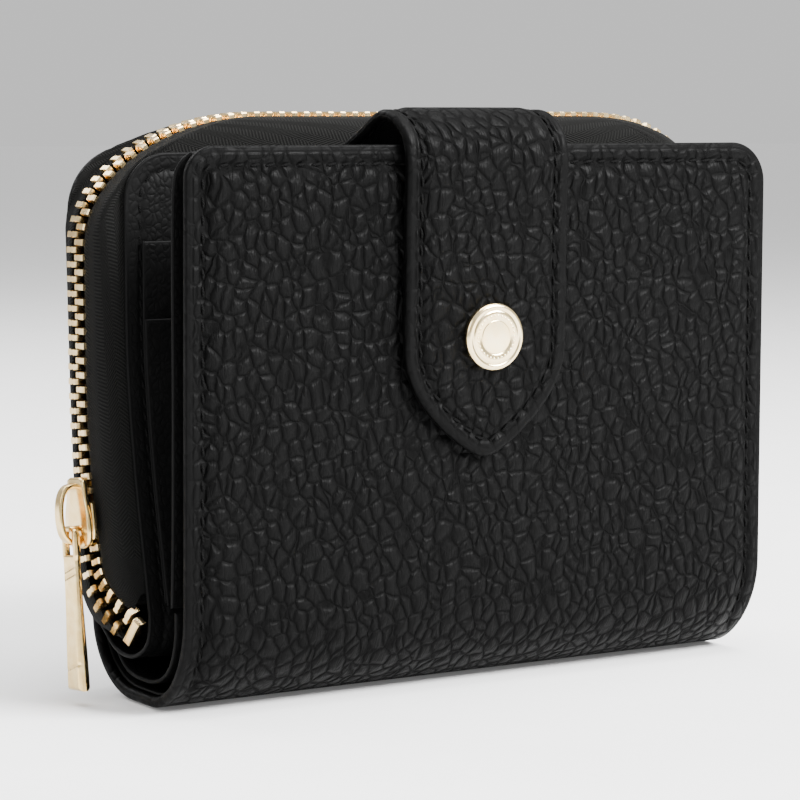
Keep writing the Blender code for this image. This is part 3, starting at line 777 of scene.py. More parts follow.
@dataclass(frozen=True)
class Leather:
    """Leather whose pebbles are domes parted by creases, crossed by fine wrinkles.

    A dome's height falls from its cell's middle as one less the square of the share of the way to the crease. Its
    colour darkens from the domes' crowns into the creases and wrinkles as painted shade.
    """

    name: str
    pebble: float = 2.7 * MM
    relief: float = 0.66 * MM
    # crease: the colour in the creases, darker than the tone as painted shade
    crease: Sequence[float] = (0.0002, 0.0002, 0.0002)
    tone: Sequence[float] = (0.0013, 0.0013, 0.0013)
    gloss: float = 0.47
    dull: float = 0.72
    shine: float = 0.053
    turn: float = math.radians(24.0)
    squeeze: Sequence[float] = (1.05, 0.84, 1.0)
    source: str | None = "grain"

    def make(self) -> bpy.types.Material:
        """Build the material."""
        recipe = Recipe(self.name)
        raw = recipe.place(self.source)
        pushed = recipe.warped(raw, 0.30 / self.pebble, 1.5 * self.pebble, (1.0, 1.0, 1.0))
        wavy = recipe.warped(pushed, 1.2 / self.pebble, 0.34 * self.pebble, (1.0, 1.0, 1.0))
        laid = recipe.node("ShaderNodeMapping", {},
                           {"Vector": wavy, "Rotation": (0.0, 0.0, self.turn), "Scale": tuple(self.squeeze)})
        gap = recipe.cells(laid.outputs[0], 1 / self.pebble, "DISTANCE_TO_EDGE")
        middle = recipe.cells(laid.outputs[0], 1 / self.pebble, "F1")
        way = middle / (middle + gap + 0.02)
        dome = (1.0 - way * way) * 0.78 + gap.eased(0.0, 0.24) * 0.22
        thin = recipe.warped(raw, 0.5 / self.pebble, 0.6 * self.pebble, (2.6, 0.7, 1.0))
        wrinkle = recipe.cells(thin, 1.15 / self.pebble, "DISTANCE_TO_EDGE").eased(0.0, 0.16)
        grit = recipe.noise(raw, 7.0 / self.pebble, 3.0)
        slow = recipe.noise(raw, 0.10 / self.pebble, 1.0)
        height = dome * 0.90 + wrinkle * 0.06 + grit * 0.04
        # Share of a dome's crown, away from creases and wrinkles: it lightens the colour against the painted crease
        # shade and lowers the roughness
        tops_out_of_crease_shade = dome.eased(0.10, 0.60) * (0.80 + wrinkle * 0.20)
        if self.source:
            calm = recipe.mark("calm")
            height = height * (1.0 - calm * 0.8)
            tops_out_of_crease_shade = tops_out_of_crease_shade + calm * 0.7 * (1.0 - tops_out_of_crease_shade)
        rough = self.gloss + (1.0 - tops_out_of_crease_shade) * (self.dull - self.gloss) + grit * 0.12 + slow * 0.12 - 0.10
        # Colour: the tone on the dome crowns, the darker crease colour in the creases and wrinkles as painted shade,
        # varied slowly at random
        colour = recipe.mixed(tops_out_of_crease_shade * (0.8 + 0.8 * (slow - 0.5)), self.crease, self.tone)
        recipe.shade(Base_Color=colour, Roughness=rough, Normal=recipe.bump(height, self.relief))
        recipe.shader.inputs["Specular IOR Level"].default_value = self.shine
        return recipe.material


@dataclass(frozen=True)
class Thread:
    """Waxed thread: two plies that twist round each other."""

    name: str
    tone: Sequence[float] = (0.0008, 0.0008, 0.0008)
    # shine: the colour on the ply crests, a painted highlight; the tone in the grooves between plies is painted shade
    shine: Sequence[float] = (0.003, 0.003, 0.003)
    gloss: float = 0.62

    def make(self) -> bpy.types.Material:
        """Build the material."""
        recipe = Recipe(self.name)
        where = recipe.place(None)
        parts = recipe.node("ShaderNodeSeparateXYZ", {}, {0: where})
        x, y, z = (Signal(recipe, parts.outputs[k]) for k in range(3))
        ply = ((x + y + z) * (2 * math.pi / (0.42 * MM))).sine() * 0.5 + 0.5
        fluff = recipe.noise(where, 6000.0)
        # The ply crests take the lighter colour as a painted highlight and the grooves the darker as painted shade;
        # fluff varies the tone at random
        colour = recipe.mixed(ply * 0.7 + fluff * 0.3, self.tone, self.shine)
        recipe.shade(Base_Color=colour, Roughness=self.gloss + fluff * 0.25, Normal=recipe.bump(ply, 0.06 * MM))
        recipe.shader.inputs["Specular IOR Level"].default_value = 0.06
        return recipe.material


@dataclass(frozen=True)
class Herringbone:
    """Zip tape: slanted ribs that turn back at each band across the tape."""

    name: str
    rib: float = 0.62 * MM
    band: float = 2.0 * MM
    # The colour in the grooves between the ribs, darker than the ridge as painted shade
    valley_shade: Sequence[float] = (0.0008, 0.0008, 0.0008)
    ridge: Sequence[float] = (0.0085, 0.0085, 0.0078)

    def make(self) -> bpy.types.Material:
        """Build the material; the chart's two axes are metres along and across the tape."""
        recipe = Recipe(self.name)
        chart = recipe.node("ShaderNodeTexCoord").outputs["UV"]
        parts = recipe.node("ShaderNodeSeparateXYZ", {}, {0: chart})
        along, across = (Signal(recipe, parts.outputs[k]) for k in range(2))
        slant = along + across.bounce(self.band) * 0.9
        rib = (slant * (2 * math.pi / self.rib)).sine() * 0.5 + 0.5
        yarn = (across * (2 * math.pi / (0.36 * MM))).sine() * 0.5 + 0.5
        fibre = recipe.noise(recipe.place(None), 5200.0, 2.0)
        height = rib * 0.6 + rib * yarn * 0.25 + fibre * 0.15
        # Colour follows the weave's height: painted shade in the grooves between ribs, the ridge colour on the ribs,
        # with random fibre variation
        colour = recipe.mixed(height, self.valley_shade, self.ridge)
        recipe.shade(Base_Color=colour, Roughness=0.78 + fibre * 0.15, Normal=recipe.bump(height, 0.12 * MM))
        recipe.shader.inputs["Specular IOR Level"].default_value = 0.1
        return recipe.material


@dataclass(frozen=True)
class Metal:
    """Plated metal with faint clouding and hairline scratches."""

    name: str
    tone: Sequence[float] = (0.80, 0.55, 0.22)
    pale: Sequence[float] = (0.88, 0.66, 0.31)
    gloss: float = 0.16
    brushing: Sequence[float] = (1.0, 1.0, 0.08)

    def make(self) -> bpy.types.Material:
        """Build the material."""
        recipe = Recipe(self.name)
        raw = recipe.place(None)
        cloud = recipe.noise(raw, 420.0, 2.0)
        hair = recipe.noise(recipe.warped(raw, 200.0, 0.1 * MM, self.brushing), 9000.0, 2.0)
        colour = recipe.mixed(cloud.eased(0.3, 0.7), self.tone, self.pale)
        rough = self.gloss + cloud * 0.10 + hair * 0.12 - 0.08
        recipe.shade(Base_Color=colour, Roughness=rough, Normal=recipe.bump(hair, 0.004 * MM))
        recipe.shader.inputs["Metallic"].default_value = 1.0
        return recipe.material


@dataclass(frozen=True)
class Board:
    """Black stiffener board with pressed fibres."""

    name: str

    def make(self) -> bpy.types.Material:
        """Build the material."""
        recipe = Recipe(self.name)
        raw = recipe.place(None)
        fibre = recipe.noise(recipe.warped(raw, 300.0, 0.4 * MM, (1.0, 1.0, 0.35)), 2600.0, 3.0)
        colour = recipe.mixed(fibre, (0.010, 0.009, 0.008), (0.024, 0.022, 0.020))
        recipe.shade(Base_Color=colour, Roughness=0.8 + fibre * 0.15, Normal=recipe.bump(fibre, 0.05 * MM))
        return recipe.material


@dataclass(frozen=True)
class Paper:
    """The pale sweep that the wallet stands on."""

    name: str
    glow: float = 0.10

    def make(self) -> bpy.types.Material:
        """Build the material."""
        recipe = Recipe(self.name)
        tooth = recipe.noise(recipe.place(None), 60.0, 2.0)
        tone = recipe.mixed(tooth, (0.87, 0.87, 0.87), (0.91, 0.91, 0.91))
        recipe.shade(Base_Color=tone, Roughness=0.9 + tooth * 0.05)
        recipe.shader.inputs["Emission Color"].default_value = (1.0, 1.0, 1.0, 1.0)
        recipe.shader.inputs["Emission Strength"].default_value = self.glow
        return recipe.material


class Finishes:
    """Every material of the wallet, made once."""

    def __init__(self) -> None:
        """Make them all."""
        self.pebbled = Leather("black_pebbled_leather").make()
        # crease: painted shade in the fine leathers' grain creases, darker than their tone
        fine = {"crease": (0.0008, 0.0008, 0.0008), "tone": (0.0028, 0.0028, 0.0028), "gloss": 0.52, "dull": 0.66,
                "shine": 0.07}
        self.smooth = Leather("black_card_leather", 1.3 * MM, 0.10 * MM, **fine).make()
        self.lining = Leather("black_lining_leather", 0.8 * MM, 0.05 * MM, **fine).make()
        self.hidden = Leather("inner_lining_leather", 0.8 * MM, 0.05 * MM, source=None, **fine).make()
        self.thread = Thread("black_waxed_thread").make()
        self.tape = Herringbone("herringbone_zip_tape").make()
        self.teeth = Metal("pale_gold_teeth", (0.82, 0.58, 0.27), (0.90, 0.70, 0.38), 0.20).make()
        self.gold = Metal("pale_gold_plate").make()
        self.cap = Metal("champagne_gold_cap", (0.97, 0.75, 0.39), (1.0, 0.83, 0.50), 0.15, (1.0, 0.1, 1.0)).make()
        self.board = Board("stiffener_board_stock").make()
        self.paper = Paper("pale_floor_paper").make()


# --- the wallet's sizes ------------------------------------------------------------------------------


@dataclass(frozen=True)
class Sizes:
    """Sizes that several sub-assemblies share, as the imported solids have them."""

    half: float = 62.0 * MM
    front_top: tuple[float, float] = (-20.6 * MM, 98.2 * MM)
    front_foot: tuple[float, float] = (-18.8 * MM, 18.0 * MM)
    base_half: float = 3.6 * MM
    back_foot: tuple[float, float] = (18.9 * MM, 14.0 * MM)
    back_top: tuple[float, float] = (21.1 * MM, 98.0 * MM)
    back_top_half: float = 65.0 * MM
    corner_left: float = 5.5 * MM
    corner_right: float = 7.5 * MM
    flare: float = 0.8 * MM
    back_corner: float = 12.0 * MM
    leaf_top: float = 97.0 * MM
    leaf_corner: float = 8.5 * MM
    strap_x: float = -2.6 * MM
    strap_half: float = 17.2 * MM
    snap_x: float = -2.1 * MM
    snap_z: float = 64.0 * MM
    standoff: float = 2.6 * MM
    chain_x: float = 66.5 * MM
    slider_z: float = 33.5 * MM
    slider_tilt: float = math.radians(5.5)

    def front_y(self, z: Array | float) -> Array:
        """The front cover's outer face at a height."""
        return np.interp(z, (self.front_foot[1], self.front_top[1]), (self.front_foot[0], self.front_top[0]))

    def back_y(self, z: Array | float) -> Array:
        """The back's outer face at a height."""
        return np.interp(z, (self.back_foot[1], self.back_top[1]), (self.back_foot[0], self.back_top[0]))

    def back_half(self, z: Array | float) -> Array:
        """The back's half-width at a height."""
        return np.interp(z, (self.back_foot[1], self.back_top[1] - self.back_corner), (self.half, self.back_top_half))

    def lean(self) -> float:
        """How far the front cover leans from upright."""
        return math.atan2(self.front_foot[0] - self.front_top[0], self.front_top[1] - self.front_foot[1])


SIZES = Sizes()
LEAF_ROUTE = ((2.9, 97.0), (2.9, 78.0), (2.7, 60.0), (0.4, 42.0), (-3.2, 24.0), (-4.9, 15.5))
FLOOR_ROUTE = ((-4.9, 15.5), (-3.4, 10.6), (2.2, 7.6), (9.0, 7.9), (15.0, 11.4))
PANEL_ROUTE = ((-17.5, 97.0), (-15.0, 93.0), (-14.0, 84.0), (-13.6, 55.0), (-12.9, 30.0), (-12.3, 18.6))
PANEL_FOLD_ROUTE = ((-12.4, 17.8), (-12.0, 12.5), (-9.6, 7.2), (-4.8, 4.2), (1.5, 3.6), (7.5, 4.6), (12.0, 8.2))
STRAP_BASE_ROUTE = ((2.55, 86.5), (2.55, 93.5), (0.9, 97.4), (-2.6, 99.6), (-6.4, 101.4), (-10.0, 103.4))
STRAP_ARCH_ROUTE = ((-10.0, 103.4), (-13.8, 104.5), (-18.4, 103.4), (-22.2, 100.0), (-23.35, 95.5), (-23.15, 90.0))


def rounded(z: Array, half: Array | float, top: float, radius: float) -> Array:
    """Half-width of a panel with a round top corner: less the radius, plus the circle's own half-width."""
    rise = np.clip((z - (top - radius)) / radius, 0.0, 1.0)
    return half - radius + radius * np.sqrt(1.0 - rise * rise)


def blend_line(low: float, high: float, tilt: float, sign: float) -> tuple[Vector, Vector]:
    """Two points whose line tilts down by an angle, at these distances from the origin along it."""
    axis = Vector((0.0, sign * math.cos(tilt), -math.sin(tilt)))
    return axis * low, axis * high


def face_outwards(obj: bpy.types.Object) -> None:
    """Turn a closed mesh's faces outwards."""
    work = bmesh.new()
    work.from_mesh(obj.data)
    bmesh.ops.recalc_face_normals(work, faces=work.faces)
    work.to_mesh(obj.data)
    work.free()


def put(shape: Surface, name: str, finish: bpy.types.Material, body: Body | tuple, slot: Slot, *nodes: str,
        crease: float | None = None) -> None:
    """Make a piece and tie it to the frame.

    Args:
        shape: Its surface.
        name: Its name.
        finish: Its material.
        body: The body it rides on, or (body, body, start, end) where it bends between two.
        slot: The record's slot of its finish.
        *nodes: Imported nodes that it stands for.
        crease: Angle in degrees above which edges stay sharp on a hard piece, whose faces are turned outwards.
    """
    obj = shape.make(name, finish, crease)
    if crease is not None:
        face_outwards(obj)
    if isinstance(body, Body):
        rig.ride(obj, body.value)
    else:
        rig.blend(obj, body[0].value, body[1].value, start=body[2], end=body[3])
    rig.slot(obj, slot.value)
    if nodes:
        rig.replaces(obj, *nodes)
    LOG.info("%s: %d faces", obj.name, len(obj.data.polygons))


# --- outer leather -----------------------------------------------------------------------------------


@dataclass
class OuterLeather:
    """The single cut of pebbled leather that makes the cover, the fold and the back, with its lining."""

    finishes: Finishes
    sizes: Sizes = SIZES
    edge: float = 2.0 * MM
    skin: float = 0.95 * MM
    hem: float = 1.25 * MM
    lining_depth: float = 1.85 * MM
    lining_inset: float = 1.6 * MM
    hinge: tuple = (Body.COVER, Body.SHELL, *blend_line(-20.1 * MM, -6.5 * MM, math.radians(10.0), 1.0))

    def route(self) -> Array:
        """The outer face from the cover's top, down and round the fold's two quarter ellipses, to the back's top."""
        s = self.sizes
        down = np.linspace(math.pi, 1.5 * math.pi, 60)[:, None]
        up = np.linspace(1.5 * math.pi, 2 * math.pi, 60)[:, None]
        reach = -s.base_half - s.front_foot[0]
        front = np.hstack([-s.base_half + reach * np.cos(down), s.front_foot[1] * (1 + np.sin(down))])
        reach = s.back_foot[0] - s.base_half
        back = np.hstack([s.base_half + reach * np.cos(up), s.back_foot[1] * (1 + np.sin(up))])
        return np.vstack([s.front_top, front, back, s.back_top])

    def outline(self, place: Array) -> tuple[Array, Array]:
        """Half-widths to the left and right at (y, z) places."""
        s = self.sizes
        y, z = place.T
        front = y < 0
        fade = np.clip((s.front_top[1] - z) / (s.front_top[1] - s.front_foot[1]), 0, 1)
        flare = s.flare * smooth(z / s.front_foot[1]) * fade
        left = rounded(z, s.half, s.front_top[1], s.corner_left)
        right = rounded(z, s.half, s.front_top[1], s.corner_right) + flare
        back = rounded(z, s.back_half(z), s.back_top[1], s.back_corner)
        return np.where(front, left, back), np.where(front, right, back)

    def face_relief(self, panel_route: Callable[[Array], Array]) -> Height:
        """Seam and puff that die away where the fold stands on the floor."""
        relief = Relief()

        def height(distance: Array, across: Array, along: Array) -> Array:
            """Relief scaled by how high the route is there."""
            z = panel_route(along)
            share = smooth((z - 0.8 * MM) / (7.0 * MM))
            return relief(distance, across, along) * share
        return height

    def under_relief(self, distance: Array, across: Array, along: Array) -> Array:
        """The inner face drops from the turned edge to the skin's own thickness."""
        return -(self.edge - self.skin) * smooth((distance - self.hem) / (0.5 * MM))

    def build(self) -> Panel:
        """Build the leather, its seam and the lining.

        Returns:
            The leather's panel.
        """
        panel = Panel("outer_leather", self.route(), self.outline, self.edge, inner=self.under_relief,
                      lip=0.85 * MM, calm_depth=1.5 * MM, pressed=0.45)
        panel.outer = self.face_relief(lambda along: np.interp(along, panel.lengths, panel.route[:, 1]))
        put(panel.surface(), panel.name, self.finishes.pebbled, self.hinge, Slot.LEATHER, "front_leather",
            "spine_leather", "back_leather")
        seam = Stitching()
        line = panel.inset(Relief().seam)
        height = np.interp(line[:, 1], panel.lengths, panel.route[:, 1])
        runs = np.split(line, np.nonzero(np.abs(np.diff((height > 4.0 * MM).astype(int))))[0] + 1)
        sewn = None
        for run in runs:
            if np.interp(run[:, 1], panel.lengths, panel.route[:, 1]).max() <= 4.0 * MM or len(run) < 40:
                continue
            part = seam.sew(panel, run, -0.42 * MM, closed=False)
            sewn = part if sewn is None else sewn.joined(part)
        put(sewn, "outer_seam_thread", self.finishes.thread, self.hinge, Slot.LEATHER)
        self.build_lining()
        return panel

    def build_lining(self) -> None:
        """The lining that backs the cover and runs down round the fold."""
        outer = evenly(self.route(), 0.5 * MM)
        inward = leftward(outer)
        moved = outer + inward * self.lining_depth
        lengths = run_lengths(moved)
        back_foot = (moved[:, 0] > 0) & (moved[:, 1] > self.sizes.back_foot[1] + 2 * MM)
        keep = (lengths > self.lining_inset) & ~back_foot

        def outline(place: Array) -> tuple[Array, Array]:
            """The leather's half-widths less the hem."""
            top = self.sizes.front_top[1] - self.lining_inset
            trim = np.where(place[:, 0] < 0, rounded(place[:, 1], 0.0, top, 4.2 * MM), 0.0)
            half = self.sizes.half - self.lining_inset + trim
            return half, half

        panel = Panel("cover_lining", moved[keep], outline, 0.6 * MM, rings=14, pitch=2.2 * MM, margin=5 * MM,
                      calm_depth=0.5 * MM)
        put(panel.surface(), panel.name, self.finishes.lining, self.hinge, Slot.LINING, "front_lining",
            "spine_lining")


@dataclass
class CardPanel:
    """The side pocket behind the cover, with three card slots on its inner face."""

    finishes: Finishes
    sizes: Sizes = SIZES
    skin: float = 0.8 * MM
    slot_skin: float = 0.5 * MM
    gap: float = 0.25 * MM
    slot_tops: tuple[float, ...] = (86.0 * MM, 73.0 * MM, 60.0 * MM)
    slot_inset: float = 3.0 * MM

    def build(self) -> None:
        """Build the panel, its edge crease and thread, and the slots."""
        s = self.sizes
        route = curve_through(PANEL_ROUTE)

        def outline(place: Array) -> tuple[Array, Array]:
            """Straight sides and round top corners."""
            half = rounded(place[:, 1], s.half - 0.5 * MM, s.front_top[1], s.corner_left)
            return half, half

        edge_line = Relief(2.2 * MM, 0.05 * MM, 0.03 * MM, 1.0 * MM, 0.12 * MM, 0.3 * MM, 0.04 * MM)
        panel = Panel("card_panel_leather", route, outline, self.skin, outer=edge_line, inner=edge_line, rings=22,
                      pitch=2.0 * MM, margin=5.0 * MM, calm_depth=0.6 * MM)
        put(panel.surface(), panel.name, self.finishes.smooth, Body.COVER, Slot.LEATHER, "card_panel")
        fold = Panel("card_panel_fold", curve_through(PANEL_FOLD_ROUTE), even(s.half - 1.2 * MM), self.skin,
                     rings=12, pitch=2.2 * MM, margin=4.0 * MM, calm_depth=0.6 * MM)
        put(fold.surface(), fold.name, self.finishes.smooth, OuterLeather.hinge, Slot.LEATHER)
        inward = leftward(route)
        sewn = None
        for number, top in enumerate(self.slot_tops, 1):
            offset = self.skin + self.gap + (number - 1) * (self.slot_skin + self.gap)
            line = (route + inward * offset)[route[:, 1] < top]
            half = s.half - self.slot_inset
            slot = Panel(f"card_slot_leather_{number}", line, even(half), self.slot_skin, outer=no_relief,
                         inner=edge_line, rings=16, pitch=2.5 * MM, margin=4 * MM, calm_depth=0.5 * MM)
            put(slot.surface(), slot.name, self.finishes.smooth, Body.COVER, Slot.LINING, f"card_slot_{number}")
            rim = slot.inset(2.2 * MM)
            rim = rim[np.abs(rim[:, 0]) > half - 3 * MM]
            thread = Stitching(2.6 * MM, 1.9 * MM, 0.45 * MM, dip=0.15 * MM)
            for side in (-1, 1):
                run = rim[np.sign(rim[:, 0]) == side]
                part = thread.sew(slot, run[np.argsort(run[:, 1])], -self.slot_skin - 0.02 * MM, closed=False)
                sewn = part if sewn is None else sewn.joined(part)
        put(sewn, "card_slot_thread", self.finishes.thread, Body.COVER, Slot.LINING)


# --- zip compartment ---------------------------------------------------------------------------------


@dataclass
class Compartment:
    """The middle leaf and the floor it turns into, its card pockets, and the linings and divider inside."""

    finishes: Finishes
    sizes: Sizes = SIZES
    skin: float = 0.9 * MM
    thin: float = 0.5 * MM
    gap: float = 0.25 * MM
    seam: float = 5.0 * MM
    pocket_tops: tuple[float, ...] = (82.0 * MM, 68.0 * MM)
    divider: tuple[float, float, float] = (10.1 * MM, 86.0 * MM, 54.0 * MM)
    gusset_depths: tuple[float, float] = (5.4 * MM, 15.2 * MM)

    def leaf_outline(self, place: Array) -> tuple[Array, Array]:
        """Straight sides and round top corners."""
        s = self.sizes
        half = rounded(place[:, 1], s.half, s.leaf_top, s.leaf_corner)
        return half, half

    def plain(self, name: str, route: Array, half: float, thickness: float, slot: Slot, node: str,
              finish: bpy.types.Material) -> None:
        """Build a straight-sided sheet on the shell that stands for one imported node."""
        panel = Panel(name, route, even(half), thickness, rings=12, pitch=3.0 * MM, margin=4.0 * MM,
                      calm_depth=0.5 * MM)
        put(panel.surface(), name, finish, Body.SHELL, slot, node)

    def build(self) -> None:
        """Build every sheet of the compartment."""
        s = self.sizes
        leaf = curve_through(LEAF_ROUTE)
        inward = leftward(leaf)
        whole = np.vstack([leaf, curve_through(FLOOR_ROUTE)[1:]])
        seam = Relief(3.0 * MM, 0.1 * MM, 0.08 * MM, 2.0 * MM, 0.2 * MM, 0.4 * MM, 0.05 * MM)
        panel = Panel("leaf_and_floor_leather", whole, self.leaf_outline, self.skin, outer=seam, rings=22,
                      pitch=2.0 * MM, calm_depth=0.8 * MM, pressed=0.4)
        put(panel.surface(), panel.name, self.finishes.smooth, Body.SHELL, Slot.LEATHER, "leaf_leather",
            "compartment_floor")
        line = panel.inset(3.0 * MM)
        line = line[np.interp(line[:, 1], panel.lengths, panel.route[:, 1]) > 16 * MM]
        line = np.roll(line, -int(np.argmax(np.linalg.norm(np.diff(line, axis=0), axis=1))) - 1, axis=0)
        thread = Stitching(2.8 * MM, 2.1 * MM, 0.5 * MM, dip=0.2 * MM)
        sewn = thread.sew(panel, line, -0.2 * MM, closed=False)
        put(sewn, "leaf_thread", self.finishes.thread, Body.SHELL, Slot.LEATHER)
        for number, top in enumerate(self.pocket_tops, 1):
            route = (leaf - inward * number * (self.thin + self.gap))[leaf[:, 1] < top]
            route = route[route[:, 1] > 18 * MM]
            self.plain(f"leaf_pocket_leather_{number}", route, s.half - 3 * MM, self.thin, Slot.LINING,
                       f"leaf_pocket_{number}", self.finishes.smooth)
        inner = leaf + inward * (self.skin + self.gap)
        inner = inner[(inner[:, 1] < s.leaf_top - self.seam) & (inner[:, 1] > 17 * MM)]
        self.plain("leaf_inner_lining", inner, s.half - self.seam, self.thin, Slot.LINING, "leaf_lining",
                   self.finishes.lining)
        depth, top, half = self.divider
        self.plain("coin_divider_lining", np.array([(depth, top), (depth, 14 * MM)]), half, 0.6 * MM, Slot.LINING,
                   "coin_divider", self.finishes.lining)
        back = np.linspace(s.back_top[1] - self.seam, s.back_foot[1] + 3 * MM, 60)
        back_route = np.column_stack([s.back_y(back) - 2.0 * MM - 0.6 * MM, back])
        self.plain("back_inner_lining", back_route, s.half - self.seam, 0.6 * MM, Slot.LINING, "back_lining",
                   self.finishes.lining)
        for side, name in ((-1, "left"), (1, "right")):
            self.build_gusset(side, name)

    def build_gusset(self, side: int, name: str) -> None:
        """A concertina strip: a zigzag in plan with soft folds, drawn upwards.

        Args:
            side: -1 for the left end, 1 for the right.
            name: The end's name.
        """
        depths = np.linspace(*self.gusset_depths, 61)
        wave = np.interp(np.arange(61) % 30, (0, 15, 30), (0.0, 1.0, 0.0))
        plan = np.column_stack([(56.2 + 3.6 * smooth(wave)) * MM * side, depths])
        aside = leftward(plan) * 0.25 * MM
        loop = np.vstack([plan + aside, (plan - aside)[::-1]])
        heights = np.linspace(16.5 * MM, self.divider[1] - 0.5 * MM, 24)
        points = np.stack([np.repeat(loop[None, :, 0], 24, 0), np.repeat(loop[None, :, 1], 24, 0),
                           np.repeat(heights[:, None], len(loop), 1)], axis=-1).reshape(-1, 3)
        faces = grid_faces(24, len(loop), wrap=True)
        low, high = list(range(len(loop))), list(range(23 * len(loop), 24 * len(loop)))
        faces = faces[:, ::-1].tolist() + [low[::-1], high]
        put(Surface(points, faces), f"gusset_{name}_lining", self.finishes.hidden, Body.SHELL, Slot.LINING,
            f"gusset_{name}", crease=50.0)


# --- zip ---------------------------------------------------------------------------------------------


@dataclass
class ZipChain:
    """The zip round three sides: two rows of teeth on woven tapes, and a stop at each low end."""

    finishes: Finishes
    sizes: Sizes = SIZES
    top: float = 103.0 * MM
    depth: float = 12.0 * MM
    bend_z: float = 60.0 * MM
    lean: float = 4.3 * MM
    foot_z: float = 26.0 * MM
    shoulders: tuple = ((-1, 31.0 * MM, 80.0 * MM, 2.0), (1, 38.0 * MM, 84.0 * MM, 2.7))
    end: tuple[float, float, float] = (64.0 * MM, -1.0 * MM, 14.2 * MM)
    pitch: float = 2.6 * MM
    spread: float = 0.7 * MM
    tape: float = 0.6 * MM
    hem: float = 3.5 * MM
    clasp: float = 2.45 * MM

    def depth_at(self, z: Array | float) -> Array:
        """The chain's depth at a height: it leans forward as the square of how far it is below the bend."""
        drop = np.clip((self.bend_z - z) / (self.bend_z - self.foot_z), 0.0, None)
        return self.depth - self.lean * drop**2

    def half_line(self, shoulder: tuple, counts: tuple[int, int, int]) -> Array:
        """One half of the centre line: a cubic at its foot, the lean, then a superellipse round the shoulder.

        Args:
            shoulder: Side, centre and power of the superellipse.
            counts: Points on each of the three parts.

        Returns:
            Points from the low end to the start of the top run.
        """
        side, middle_x, middle_z, power = shoulder
        start = np.array(self.end)
        end = np.array((self.sizes.chain_x, float(self.depth_at(self.foot_z)), self.foot_z))
        first = start + np.array((2.6, 4.6, 4.4)) * MM
        second = end - np.array((0.0, 1.5, 6.0)) * MM
        t = np.linspace(0.0, 1.0, counts[0], endpoint=False)[:, None]
        foot = (1 - t)**3 * start + 3 * (1 - t)**2 * t * first + 3 * (1 - t) * t**2 * second + t**3 * end
        heights = np.linspace(self.foot_z, middle_z, counts[1], endpoint=False)
        straight = np.column_stack([np.full(counts[1], self.sizes.chain_x), self.depth_at(heights), heights])
        turn = np.radians(np.linspace(0.0, 90.0, counts[2]))
        across = middle_x + (self.sizes.chain_x - middle_x) * np.cos(turn)**(2 / power)
        up = middle_z + (self.top - middle_z) * np.sin(turn)**(2 / power)
        corner = np.column_stack([across, np.full(counts[2], self.depth), up])
        return np.vstack([foot, straight, corner]) * (side, 1, 1)

    def line(self, counts: tuple[int, int, int], top: int) -> Array:
        """The whole centre line, from the left low end over the top to the right low end."""
        left = self.half_line(self.shoulders[0], counts)
        right = self.half_line(self.shoulders[1], counts)[::-1]
        share = np.linspace(0.0, 1.0, top + 2)[1:-1, None]
        return np.vstack([left, left[-1] + (right[0] - left[-1]) * share, right])

    def axes(self, line: Array) -> tuple[Array, Array, Array]:
        """Unit directions along the chain, across it towards the back, and outwards."""
        along = directions(line)
        low = (line[:, 2] < self.bend_z)[:, None]
        aside = np.column_stack([np.sign(line[:, 0]), np.zeros((len(line), 2))])
        aside = aside - along * np.sum(along * aside, axis=1)[:, None]
        outward = np.where(low, aside, np.cross(along, (0.0, 1.0, 0.0)))
        outward /= np.linalg.norm(outward, axis=1)[:, None]
        return along, np.cross(outward, along), outward

    def parting(self, z: Array) -> Array:
        """How far each row stands off the centre, below the slider."""
        return self.spread * smooth((self.sizes.slider_z + 0.5 * MM - z) / (5.5 * MM))

    def tooth(self) -> tuple[Array, Array]:
        """One tooth: an eight-sided outline, legs, neck and head, drawn through four levels with bevelled ends."""
        outline = np.array(((3.05, 0.56), (1.75, 0.60), (1.15, 0.40), (0.70, 0.62), (0.12, 0.50),
                            (0.12, -0.50), (0.70, -0.62), (1.15, -0.40), (1.75, -0.60), (3.05, -0.56))) * MM
        middle = outline.mean(axis=0)
        levels = ((-1.2, 0.78), (-0.95, 1.0), (0.95, 1.0), (1.2, 0.78))
        rings = [np.column_stack([middle + (outline - middle) * (1 - (1 - k) * 0.55), np.full(len(outline), h * MM)])
                 for h, k in levels]
        points = np.vstack(rings)[:, [0, 2, 1]]
        return points, grid_faces(len(levels), len(outline), wrap=True)

    def build_teeth(self, row: int, name: str, node: str) -> None:
        """One row of teeth, half a pitch from the other row.

        Args:
            row: -1 in front, 1 behind.
            name: Piece name.
            node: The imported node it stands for.
        """
        fine = self.line((120, 160, 160), 120)
        total = run_lengths(fine)[-1]
        places = np.arange(0.25 if row < 0 else 0.75, total / self.pitch, 1.0) * self.pitch
        spots = at_lengths(fine, places)
        after, before = (at_lengths(fine, np.clip(places + step, 0, total)) for step in (0.6 * MM, -0.6 * MM))
        ahead = after - before
        along = ahead / np.linalg.norm(ahead, axis=1)[:, None]
        _, _, out_fine = self.axes(fine)
        lengths = run_lengths(fine)
        outward = np.column_stack([np.interp(places, lengths, out_fine[:, k]) for k in range(3)])
        outward -= along * np.sum(outward * along, axis=1)[:, None]
        outward /= np.linalg.norm(outward, axis=1)[:, None]
        across = np.cross(outward, along) * row
        spots = spots + across * self.parting(spots[:, 2])[:, None]
        shape, faces = self.tooth()
        size = len(shape) // 4
        row_axes = np.stack([across, outward, along], axis=1)
        made = scattered(shape, faces, spots, row_axes)
        starts = np.arange(len(spots))[:, None] * len(shape)
        low = (starts + np.arange(size)[None]).tolist()
        high = (starts + len(shape) - size + np.arange(size)[None, ::-1]).tolist()
        made.faces = made.faces + low + high
        put(made, name, self.finishes.teeth, Body.SHELL, Slot.ZIP_METAL, node, crease=38.0)

